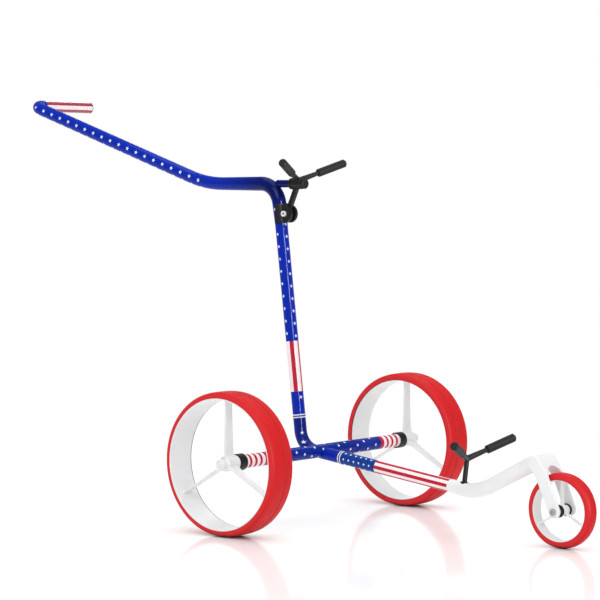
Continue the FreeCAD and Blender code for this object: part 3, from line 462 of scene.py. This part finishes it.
def grip_paint(tree):
    """Stripes along the grip, and a dark edge at its end."""
    place = tree.position()
    turn = turn_about(tree, place, HANDLE_CORNER, FORWARD, -UP)
    red = stripes(turn, GRIP_STRIPES_TURN, STRIPE_WIDTH, 4)
    flag = tree.blend(red, FLAG_WHITE, GRIP_RED)
    end = tree.along(place, HANDLE_CORNER, LEFT).above(GRIP_EDGE_START)
    return lacquer(tree, place, tree.blend(end, flag, GRIP_EDGE))


SHOULDER = 3.2 * MM                         # width over which the tread turns into the side
SIDE_FULL = 0.6 * MM                        # the side's colour is full this far from the edge
# painted shade along the groove: full this close to its line, gone this far from it
GROOVE_SHADE = (0.8 * MM, 5.0 * MM)
FOOT_SHADE = (1.0 * MM, 9.0 * MM)           # the painted contact shadow fades out between these heights above the ground
TREAD_DEPTH = 4 * MM


def tyre_paint(centre, half_width, line, radius):
    """Red rubber: duller sides, painted shade along the groove round the tread, a painted contact
    shadow near the ground, streaks from the mould.
    """
    def paint(tree):
        place = tree.position()
        out = tree.along(place, centre, LEFT)
        fore = tree.along(place, centre, FORWARD)
        high = tree.along(place, centre, UP)
        reach = (fore * fore + high * high).math("SQRT")
        wrap = tree.join(out * 260.0, fore.math("ARCTAN2", high) * 1.6, reach * 120.0)
        streak = tree.noise(wrap, 1.0, 3.0)
        side = out.math("ABSOLUTE").eased(half_width - SHOULDER, half_width - SIDE_FULL)
        off_line = (out - line).math("ABSOLUTE").eased(*GROOVE_SHADE)
        off_ground = tree.along(place, (0, 0, 0), UP).eased(*FOOT_SHADE)
        tread = (1.0 - side) * reach.above(radius - TREAD_DEPTH)
        red = tree.blend(streak * 0.4, TYRE_RED, STREAK_AND_SHADE_RED)
        red = tree.blend(side, red, TYRE_SIDE)
        # painted shade to both sides of the groove's line
        red = tree.blend((1.0 - off_line) * tread * 0.55, red, STREAK_AND_SHADE_RED)
        # painted contact shadow towards the ground
        return {"Base Color": tree.blend(1.0 - off_ground, red, TYRE_CONTACT_SHADOW),
                "Roughness": streak * 0.18 + 0.40,
                "Normal": tree.bump(streak, 0.10 * MM)}
    return paint


RIM_LIP = 29.3 * MM                         # the lip's line starts this far from the rim's middle


def rim_paint(centre, side):
    """White plastic, with the tyre's lip as a thin line round the edge that faces the trolley: the lip
    is the tyre's, its darkness is painted shade.
    """
    def paint(tree):
        place = tree.position()
        grain = tree.noise(place, 120.0, 3.0)
        lip = tree.along(place, centre, (0, side, 0)).below(-RIM_LIP)
        white = tree.blend(grain, GLOSS_WHITE, SOFT_WHITE)
        # painted shade: the lip's line is drawn dark, as it looks in its shade
        return {"Base Color": tree.blend(lip, white, TYRE_LIP_IN_SHADE),
                "Roughness": grain * 0.16 + 0.30,
                "Normal": tree.bump(grain, 0.03 * MM)}
    return paint


BOLT_SOCKET_RADIUS = 2.4 * MM


def bolt_paint(tree):
    """Bright head, with painted shade in its middle where the socket is."""
    place = tree.position()
    reach = distance_round(tree, place, middle("cradle_pivot_bolt"), FORWARD, UP)
    grain = tree.noise(place, 500.0)
    head = tree.blend(grain, BOLT_BRIGHT, BOLT_DULL)
    # painted shade in the socket
    return {"Base Color": tree.blend(reach.below(BOLT_SOCKET_RADIUS), head, SOCKET_SHADE),
            "Roughness": grain * 0.2 + 0.25}


def plain(colour, darker, scale, roughness, bump, stretch=(1, 1, 1)):
    """Paint function for a moulded or turned finish: grain scale per metre, bump in millimetres."""
    def paint(tree):
        place = tree.position()
        grain = tree.noise(place, scale, 3.0, stretch)
        return {"Base Color": tree.blend(grain, colour, darker),
                "Roughness": grain * 0.16 + roughness,
                "Normal": tree.bump(grain, bump * MM)}
    return paint


GLOSS = {"Coat_Weight": 0.30, "Coat_Roughness": 0.04, "Specular_IOR_Level": 0.02}
RIM_GLOSS = {"Coat_Weight": 0.2, "Coat_Roughness": 0.15, "Specular_IOR_Level": 0.3}
TYRE_SHEEN = {"Specular_IOR_Level": 0.15}
AXLE_PAINT = finish_material("axle_tube_paint", axle_paint, **GLOSS)
SHAFT_PAINT = finish_material("shaft_paint", shaft_paint, **GLOSS)
ELBOW_PAINT = finish_material("elbow_paint", elbow_paint, **GLOSS)
FRONT_PAINT = finish_material("front_tube_paint", front_tube_paint, **GLOSS)
BLUE_PAINT = finish_material("royal_blue_paint", blue_paint, **GLOSS)
SHAFT_RING = finish_material("shaft_ring_paint", ring_paint("shaft_joint_ring", SHAFT_UP), **GLOSS)
FRONT_RING = finish_material("front_ring_paint", ring_paint("front_joint_ring", TUBE_OUT), **GLOSS)
BRIGHT_BOLT = finish_material("bright_bolt", bolt_paint)
GRIP_PAINT = finish_material("striped_grip", grip_paint, Coat_Weight=0.2, Coat_Roughness=0.2)
FORK_PAINT = finish_material(
    "white_fork_paint", plain(GLOSS_WHITE, SOFT_WHITE, 60, 0.24, 0.02),
    Coat_Weight=0.3, Coat_Roughness=0.1, Specular_IOR_Level=0.3)
RIM_PLASTIC = finish_material(
    "white_rim_plastic", plain(GLOSS_WHITE, SOFT_WHITE, 120, 0.30, 0.03), **RIM_GLOSS)
BLACK_PLASTIC = finish_material(
    "black_plastic", plain(SATIN_BLACK, (0.012, 0.012, 0.013), 700, 0.36, 0.05),
    Specular_IOR_Level=0.28)
BLACK_RUBBER = finish_material(
    "black_rubber", plain((0.006, 0.006, 0.006), (0.011, 0.011, 0.011), 1200, 0.46, 0.06),
    Specular_IOR_Level=0.26)
STEEL = finish_material(
    "turned_steel", plain((0.55, 0.56, 0.58), (0.44, 0.45, 0.47), 600, 0.28, 0.02, (1, 6, 1)),
    Metallic=1.0)
ALUMINIUM = finish_material(
    "turned_aluminium", plain((0.72, 0.73, 0.75), (0.62, 0.63, 0.65), 500, 0.30, 0.02, (1, 5, 1)),
    Metallic=1.0)
IRON = finish_material(
    "ground_iron", plain((0.22, 0.23, 0.25), (0.15, 0.155, 0.17), 400, 0.40, 0.03), Metallic=1.0)
COPPER = finish_material(
    "winding_copper", plain((0.62, 0.27, 0.12), (0.45, 0.17, 0.07), 800, 0.30, 0.08, (1, 8, 1)),
    Metallic=1.0)
BOARD = finish_material(
    "circuit_board", plain((0.02, 0.14, 0.06), (0.015, 0.09, 0.045), 500, 0.40, 0.04))
BUTTON_RED = finish_material(
    "red_button", plain((0.5, 0.02, 0.02), (0.42, 0.015, 0.015), 400, 0.30, 0.03))
BUTTON_WHITE = finish_material(
    "white_button", plain(GLOSS_WHITE, (0.74, 0.745, 0.75), 300, 0.30, 0.03))

SLOT_FINISH = {"blue_paint": BLUE_PAINT, "flag_paint": FRONT_PAINT, "striped_grip": GRIP_PAINT,
               "white_gloss": RIM_PLASTIC, "white_paint": FORK_PAINT, "red_tyre": BLACK_RUBBER,
               "black_plastic": BLACK_PLASTIC, "black_rubber": BLACK_RUBBER,
               "bright_trim": SHAFT_RING, "steel": STEEL, "light_metal": ALUMINIUM,
               "magnet_iron": IRON, "copper": COPPER, "board": BOARD, "button_red": BUTTON_RED}
NODE_FINISH = {"axle_tube": AXLE_PAINT, "shaft_tube": SHAFT_PAINT, "frame_elbow": ELBOW_PAINT,
               "front_joint_ring": FRONT_RING, "left_release_button": BUTTON_WHITE,
               "right_release_button": BUTTON_WHITE, "front_bearings": BLACK_RUBBER,
               "cradle_pivot_bolt": BRIGHT_BOLT}
SLOT = {row["node"]: row["material_slot"] for row in frame["record"]["subparts"]}


def paint_nodes():
    """Gives every solid its finish, those that a dressed piece stands for too."""
    for node, slot in SLOT.items():
        mesh = frame["nodes"][node].data
        mesh.materials.clear()
        mesh.materials.append(NODE_FINISH.get(node, SLOT_FINISH[slot]))


# ---- Ways of making a piece ----
def show(name, mesh):
    piece = bpy.data.objects.new(name, mesh)
    bpy.context.scene.collection.objects.link(piece)
    return piece


def to_mesh(source, name):
    """Plain mesh object of what the source's modifiers make; the source is then removed."""
    bpy.context.view_layer.update()
    made = source.evaluated_get(bpy.context.evaluated_depsgraph_get())
    mesh = bpy.data.meshes.new_from_object(made)
    bpy.data.objects.remove(source)
    mesh.name = name
    return show(name, mesh)


def stand_for(piece, node, body, finish):
    """Shows the piece in the place of a solid and lets it move with the body."""
    piece.data.materials.clear()
    piece.data.materials.append(finish)
    piece.data.shade_smooth()
    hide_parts(node)
    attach(piece, body)


def softened(node, name, voxel, passes, body, finish):
    """Copy of a solid with its edges and inner corners blended, as cast or moulded in one.

    The voxel's size is in millimetres, and passes says how far the blending reaches.
    """
    mesh = frame["nodes"][node].data.copy()
    merged = bmesh.new()
    merged.from_mesh(mesh)
    bmesh.ops.remove_doubles(merged, verts=merged.verts, dist=0.01 * MM)
    merged.to_mesh(mesh)
    merged.free()
    source = show(name + "_copy", mesh)
    remesh = source.modifiers.new("even_skin", "REMESH")
    remesh.mode = "VOXEL"
    remesh.voxel_size = voxel * MM
    smooth = source.modifiers.new("blend_corners", "SMOOTH")
    smooth.factor = 0.5
    smooth.iterations = passes
    piece = to_mesh(source, name)
    stand_for(piece, node, body, finish)


REAR_SIDES = 192
FRONT_RIM_SIDES = 128
FRONT_TYRE_SIDES = 160


def lathe(mesh, centre, side, profile, sides):
    """Adds a closed ring turned about Y. The profile lists (outward, radius, flat) in millimetres.

    A flat is the half width to which two flats cut the radius, or None where there are none.
    """
    start = len(mesh.verts)
    for step in range(sides):
        angle = TURN * step / sides
        for outward, radius, flat in profile:
            if flat is not None and abs(math.cos(angle)) * radius > flat:
                radius = flat / abs(math.cos(angle))
            mesh.verts.new((centre.x + radius * math.cos(angle) * MM,
                            centre.y + side * outward * MM,
                            centre.z + radius * math.sin(angle) * MM))
    mesh.verts.ensure_lookup_table()
    count = len(profile)
    for step in range(sides):
        here = start + step * count
        ahead = start + (step + 1) % sides * count
        for index in range(count):
            onward = (index + 1) % count
            mesh.faces.new([mesh.verts[here + index], mesh.verts[here + onward],
                            mesh.verts[ahead + onward], mesh.verts[ahead + index]])


def rounded(corners, rounding, steps=5):
    """Profile with its corners rounded, all in millimetres. Corners lists (outward, radius)."""
    points = []
    for index, corner in enumerate(corners):
        here = Vector(corner)
        before = Vector(corners[index - 1]) - here
        after = Vector(corners[(index + 1) % len(corners)]) - here
        reach = min(rounding, before.length * 0.45, after.length * 0.45)
        first = here + before.normalized() * reach
        last = here + after.normalized() * reach
        for step in range(steps + 1):
            t = step / steps
            point = first * (1 - t) ** 2 + here * (2 * t * (1 - t)) + last * t ** 2
            points.append((point.x, point.y, None))
    return points


def turned_piece(name, rings, sides):
    """Mesh of one or more closed rings, each given as (centre, side, profile)."""
    mesh = bmesh.new()
    for centre, side, profile in rings:
        lathe(mesh, centre, side, profile, sides)
    bmesh.ops.recalc_face_normals(mesh, faces=mesh.faces)
    data = bpy.data.meshes.new(name)
    mesh.to_mesh(data)
    mesh.free()
    return show(name, data)


# ---- Spoked wheels ----
SECTION_POWER = 0.42                        # below 1 it squares the blade's round section
ROOT_FLARE = 26.0                           # the higher, the closer the flare keeps to the end
TIP_FLARE = 34.0
SPOKES = 3
SPOKE_TURN = TURN / 4                       # the first spoke stands upright


def blade_tree():
    """Joins evenly spaced blades to a wheel's turned parts, flared into hub and barrel."""
    group = bpy.data.node_groups.new("wheel_blades", "GeometryNodeTree")
    face = group.interface
    face.new_socket("Geometry", in_out="INPUT", socket_type="NodeSocketGeometry")
    face.new_socket("Centre", in_out="INPUT", socket_type="NodeSocketVector")
    face.new_socket("Count", in_out="INPUT", socket_type="NodeSocketInt")
    for name in ("First Angle", "Root", "Tip", "Root Width", "Tip Width", "Thickness", "Fillet"):
        face.new_socket(name, in_out="INPUT", socket_type="NodeSocketFloat")
    face.new_socket("Finish", in_out="INPUT", socket_type="NodeSocketMaterial")
    face.new_socket("Geometry", in_out="OUTPUT", socket_type="NodeSocketGeometry")
    tree = Tree(group)
    given = group.nodes.new("NodeGroupInput")

    def port(name):
        return Term(tree, given.outputs[name])

    bar = tree.node("GeometryNodeMeshCylinder", None,
                    {"Vertices": 48, "Side Segments": 90, "Radius": 1.0, "Depth": 1.0})
    x, y, z = tree.split(tree.node("GeometryNodeInputPosition"))
    t = z + 0.5
    squared = [value.math("SIGN") * value.math("ABSOLUTE") ** SECTION_POWER for value in (x, y)]
    flare = port("Fillet") * 2.0 * ((1.0 - t) ** ROOT_FLARE + t ** TIP_FLARE)
    width = port("Root Width") + t * (port("Tip Width") - port("Root Width")) + flare
    shaped = tree.node("GeometryNodeSetPosition", None, {
        "Geometry": bar,
        "Position": tree.join(squared[0] * (port("Thickness") + flare) * 0.5,
                              squared[1] * width * 0.5,
                              port("Root") + t * (port("Tip") - port("Root")))})
    places = tree.node("GeometryNodePoints", None, {"Count": port("Count"), "Radius": 0.001})
    swing = TURN / 4 - port("First Angle") - tree.node("GeometryNodeInputIndex") * TURN / port("Count")
    blades = tree.node("GeometryNodeInstanceOnPoints", None,
                       {"Points": places, "Instance": shaped, "Rotation": tree.join(0.0, swing, 0.0)})
    whole = tree.node("GeometryNodeRealizeInstances", None, {"Geometry": blades})
    moved = tree.node("GeometryNodeTransform", None,
                      {"Geometry": whole, "Translation": port("Centre")})
    joined = tree.node("GeometryNodeJoinGeometry", None, {0: moved})
    tree.links.new(port("Geometry").socket, joined.socket.node.inputs[0])
    smooth = tree.node("GeometryNodeSetShadeSmooth", None, {"Geometry": joined})
    painted = tree.node("GeometryNodeSetMaterial", None,
                        {"Geometry": smooth, "Material": port("Finish")})
    leave = group.nodes.new("NodeGroupOutput")
    tree.links.new(painted.socket, leave.inputs[0])
    return group


BLADES = blade_tree()


def set_inputs(modifier, group, values):
    for item in group.interface.items_tree:
        if item.in_out == "INPUT" and item.name in values:
            modifier[item.identifier] = values[item.name]


def spoked(source, name, centre, blades):
    """The source with evenly spaced blades round the centre, in the sizes given."""
    values = {"Centre": centre, "Count": SPOKES, "First Angle": SPOKE_TURN,
              "Finish": RIM_PLASTIC, **blades}
    modifier = source.modifiers.new("blades", "NODES")
    modifier.node_group = BLADES
    set_inputs(modifier, BLADES, values)
    return to_mesh(source, name)


HALF_TRACK = 293.0 * MM
REAR_TYRE_RADIUS = 145.0 * MM
REAR_TYRE_HALF = 32.2 * MM
REAR_GROOVE = -8.0 * MM                     # of the groove's middle, inward from the wheel's
# Each profile lists (outward, radius) in millimetres, and the bore its half flat as well.
REAR_TYRE = [(-32.2, 136.0), (-31.8, 138.8), (-30.4, 141.4), (-27.4, 143.4), (-19.0, 144.5),
             (-9.8, 144.9), (-9.2, 144.8), (-8.6, 144.2), (-7.4, 144.2), (-6.8, 144.8),
             (0.0, 145.0), (17.0, 144.8), (25.6, 143.9), (29.4, 142.2), (31.5, 139.2),
             (32.2, 136.0), (31.9, 133.2), (31.5, 132.6), (-31.5, 132.6), (-31.6, 131.0),
             (-31.9, 130.8), (-32.1, 131.6)]
REAR_BARREL = [(-31.5, 132.55), (-31.5, 130.3), (-30.0, 130.1), (30.0, 130.1), (31.4, 130.3),
               (31.8, 131.2), (31.5, 132.55)]
REAR_HUB = [(-20.0, 14.4), (-19.0, 15.5), (12.6, 15.5), (15.2, 14.2), (16.2, 11.6), (26.0, 11.0),
            (28.2, 10.2), (29.0, 8.0), (29.0, 5.75), (15.6, 5.75)]
REAR_BORE = [(15.6, 5.08, 4.08), (-20.0, 5.08, 4.08)]
REAR_BLADES = {"Root": 12.6 * MM, "Tip": 131.0 * MM, "Root Width": 27.0 * MM,
               "Tip Width": 18.0 * MM, "Thickness": 3.4 * MM, "Fillet": 4.0 * MM}
BARREL_ROUNDING = 0.5
HUB_ROUNDING = 1.0
TYRE_ROUNDING = 1.4


def rear_wheel(side_name, side):
    centre = middle(side_name + "_rear_rim")
    centre.y = side * HALF_TRACK
    body = side_name + "_wheel"
    hub = rounded(REAR_HUB, HUB_ROUNDING)[:-1] + REAR_BORE
    barrel = rounded(REAR_BARREL, BARREL_ROUNDING, 3)
    source = turned_piece(side_name + "_rim_parts",
                          [(centre, side, barrel), (centre, side, hub)], REAR_SIDES)
    rim = spoked(source, side_name + "_wheel_rim", centre, REAR_BLADES)
    stand_for(rim, side_name + "_rear_rim", body,
              finish_material(side_name + "_rim_plastic", rim_paint(centre, side), **RIM_GLOSS))
    tyre = turned_piece(side_name + "_wheel_tyre",
                        [(centre, side, rounded(REAR_TYRE, TYRE_ROUNDING, 3))], REAR_SIDES)
    paint = tyre_paint(centre, REAR_TYRE_HALF, side * REAR_GROOVE, REAR_TYRE_RADIUS)
    stand_for(tyre, side_name + "_rear_tyre", body,
              finish_material(side_name + "_tyre_rubber", paint, **TYRE_SHEEN))


FRONT_TYRE_RADIUS = 73.5 * MM
FRONT_TYRE_HALF = 14.4 * MM
NO_GROOVE = -30 * MM                        # beside the tyre
FRONT_TYRE = [(-14.4, 64.0), (-14.1, 66.8), (-12.9, 69.6), (-10.2, 72.0), (-5.6, 73.3), (-1.6, 73.5),
              (1.6, 73.5), (5.6, 73.3), (10.2, 72.0), (12.9, 69.6), (14.1, 66.8), (14.4, 64.0),
              (13.8, 61.8), (13.5, 61.2), (-13.5, 61.2), (-13.6, 60.0), (-14.0, 59.8),
              (-14.3, 60.8)]
FRONT_BARREL = [(-13.8, 61.15), (-13.8, 59.0), (-12.6, 58.7), (12.6, 58.7), (13.8, 59.0),
                (14.0, 60.0), (13.8, 61.15)]
FRONT_HUB = [(-12.0, 9.6), (-11.6, 10.0), (11.6, 10.0), (12.0, 9.6), (12.0, 8.0), (7.0, 8.0),
             (7.0, 5.5), (-7.0, 5.5), (-7.0, 8.0), (-12.0, 8.0)]
FRONT_BLADES = {"Root": 9.2 * MM, "Tip": 59.6 * MM, "Root Width": 11.0 * MM,
                "Tip Width": 11.0 * MM, "Thickness": 3.0 * MM, "Fillet": 1.6 * MM}


def front_wheel():
    centre = FRONT_AXLE.copy()
    centre.y = 0.0
    source = turned_piece("front_rim_parts",
                          [(centre, 1, rounded(FRONT_BARREL, 0.4, 3)),
                           (centre, 1, rounded(FRONT_HUB, 0.3, 2))], FRONT_RIM_SIDES)
    rim = spoked(source, "front_wheel_rim", centre, FRONT_BLADES)
    stand_for(rim, "front_rim", "front_wheel", RIM_PLASTIC)
    tyre = turned_piece("front_wheel_tyre", [(centre, 1, rounded(FRONT_TYRE, 1.0, 3))],
                        FRONT_TYRE_SIDES)
    paint = tyre_paint(centre, FRONT_TYRE_HALF, NO_GROOVE, FRONT_TYRE_RADIUS)
    stand_for(tyre, "front_tyre", "front_wheel",
              finish_material("front_tyre_rubber", paint, **TYRE_SHEEN))


paint_nodes()
rear_wheel("left", 1)
rear_wheel("right", -1)
front_wheel()
softened("front_fork", "blended_fork", 1.3, 10, "front_frame", FORK_PAINT)
softened("upper_cradle", "blended_upper_cradle", 0.8, 6, "cradle_top", BLACK_PLASTIC)
softened("lower_cradle", "blended_lower_cradle", 0.8, 6, "cradle_bottom", BLACK_PLASTIC)


# ---- Studio ----
def stage_light(name, place, target, size, power):
    """Softbox of a width and height in metres and a power in watts, turned to its target."""
    lamp = bpy.data.lights.new(name, "AREA")
    lamp.shape = "RECTANGLE"
    lamp.size, lamp.size_y = size
    lamp.energy = power
    item = bpy.data.objects.new(name, lamp)
    item.location = place
    item.rotation_euler = (Vector(target) - Vector(place)).to_track_quat("-Z", "Y").to_euler()
    bpy.context.scene.collection.objects.link(item)
    return item


stage_light("key_softbox", (1.5, -3.2, 3.4), (0, 0, 0.4), (2.4, 2.4), 64)
stage_light("fill_softbox", (3.4, 0.6, 2.2), (0, 0, 0.4), (2.0, 2.0), 15)
# The strip lights nothing directly: it only draws the bright line up the glossy tubes.
strip = stage_light("strip_light", (3.3, -1.1, 0.9), (0, 0, 0.5), (0.50, 2.2), 140)
strip.visible_diffuse = False
stage_light("rim_strip", (-1.4, 2.6, 2.7), (0, 0, 0.3), (2.4, 0.12), 7)
stage_light("top_softbox", (0.0, 0.4, 3.4), (0, 0, 0.2), (3.2, 3.2), 40)

SURROUND = 0.76                             # strength of the white surroundings on the trolley
MIRRORED_LOSS = 0.50                        # how much weaker they are in reflections
world = bpy.data.worlds.new("studio")
bpy.context.scene.world = world
studio = new_tree(world)
seen = studio.node("ShaderNodeLightPath", output="Is Camera Ray")
mirrored = studio.node("ShaderNodeLightPath", output="Is Glossy Ray")
glow = studio.nodes["Background"]
glow.inputs["Color"].default_value = (1.0, 1.0, 1.0, 1.0)
strength = seen.either(SURROUND - mirrored * MIRRORED_LOSS)
studio.links.new(strength.socket, glow.inputs["Strength"])

FLOOR_SPAN = 9.0
floor_mesh = bpy.data.meshes.new("studio_floor")
floor_mesh.from_pydata([(x * FLOOR_SPAN, y * FLOOR_SPAN, 0) for x, y in
                        ((-1, -1), (1, -1), (1, 1), (-1, 1))], [], [(0, 1, 2, 3)])
floor = show("studio_floor", floor_mesh)
FLOOR_WHITE = (0.97, 0.97, 0.97, 1)
FLOOR_ROUGHNESS = 0.12
FLOOR_SHINE = 0.12
FLOOR_FADE = (0.8, 1.8)                     # from the middle: reflections end between these


def floor_paint():
    """White floor with faint reflections near the trolley, plain white farther out."""
    material = bpy.data.materials.new("studio_floor")
    ground = new_tree(material)
    surface = ground.nodes["Principled BSDF"]
    surface.inputs["Base Color"].default_value = FLOOR_WHITE
    surface.inputs["Roughness"].default_value = FLOOR_ROUGHNESS
    surface.inputs["Specular IOR Level"].default_value = FLOOR_SHINE
    white = ground.node("ShaderNodeEmission", None, {"Color": (1, 1, 1), "Strength": 1.0})
    camera_ray = ground.node("ShaderNodeLightPath", output="Is Camera Ray")
    distance = distance_round(ground, ground.position(), (0, 0, 0), FORWARD, LEFT)
    mixed = ground.node("ShaderNodeMixShader", None,
                        {0: camera_ray * distance.eased(*FLOOR_FADE),
                         1: Term(ground, surface.outputs[0]), 2: white})
    ground.links.new(mixed.socket, ground.nodes["Material Output"].inputs["Surface"])
    return material


floor_mesh.materials.append(floor_paint())

VIEW_AZIMUTH = math.radians(39.95)          # from the right side towards the front
BACKDROP_REACH = 4.6
BACKDROP_HALF = 9.0
BACKDROP_TOP = 1.5


def backdrop():
    """Low white wall behind the trolley. Only mirrored rays meet it, so it hides nothing."""
    away = Vector((-math.sin(VIEW_AZIMUTH), math.cos(VIEW_AZIMUTH), 0))
    along = Vector((away.y, -away.x, 0))
    foot = away * BACKDROP_REACH
    corners = [foot - along * BACKDROP_HALF, foot + along * BACKDROP_HALF]
    corners += [corner + Vector((0, 0, BACKDROP_TOP)) for corner in reversed(corners)]
    mesh = bpy.data.meshes.new("studio_backdrop")
    mesh.from_pydata([tuple(corner) for corner in corners], [], [(0, 1, 2, 3)])
    material = bpy.data.materials.new("studio_backdrop")
    wall = new_tree(material)
    reflected = wall.node("ShaderNodeLightPath", output="Is Glossy Ray")
    clear = wall.node("ShaderNodeBsdfTransparent")
    bright = wall.node("ShaderNodeEmission", None, {"Color": (1, 1, 1), "Strength": 1.0})
    shown = wall.node("ShaderNodeMixShader", None, {0: reflected, 1: clear, 2: bright})
    wall.links.new(shown.socket, wall.nodes["Material Output"].inputs["Surface"])
    mesh.materials.append(material)
    return show("studio_backdrop", mesh)


backdrop()

# ---- Camera ----
VIEW_TARGET = Vector((AXLE.x - 0.05948, 0.0, 0.45877))
VIEW_DISTANCE = 4.94413
VIEW_PITCH = math.radians(2.94)
LENS = 141.04                               # lens and sensor in millimetres
SENSOR_WIDTH = 36.0
FARTHEST_SEEN = 60.0
camera_data = bpy.data.cameras.new("camera")
camera_data.lens = LENS
camera_data.sensor_width = SENSOR_WIDTH
camera_data.clip_end = FARTHEST_SEEN
camera = bpy.data.objects.new("camera", camera_data)
bpy.context.scene.collection.objects.link(camera)
towards_camera = Vector((math.sin(VIEW_AZIMUTH) * math.cos(VIEW_PITCH),
                         -math.cos(VIEW_AZIMUTH) * math.cos(VIEW_PITCH), math.sin(VIEW_PITCH)))
camera.location = VIEW_TARGET + towards_camera * VIEW_DISTANCE
camera.rotation_euler = (-towards_camera).to_track_quat("-Z", "Y").to_euler()
bpy.context.scene.camera = camera
bpy.context.scene.view_settings.view_transform = "Standard"
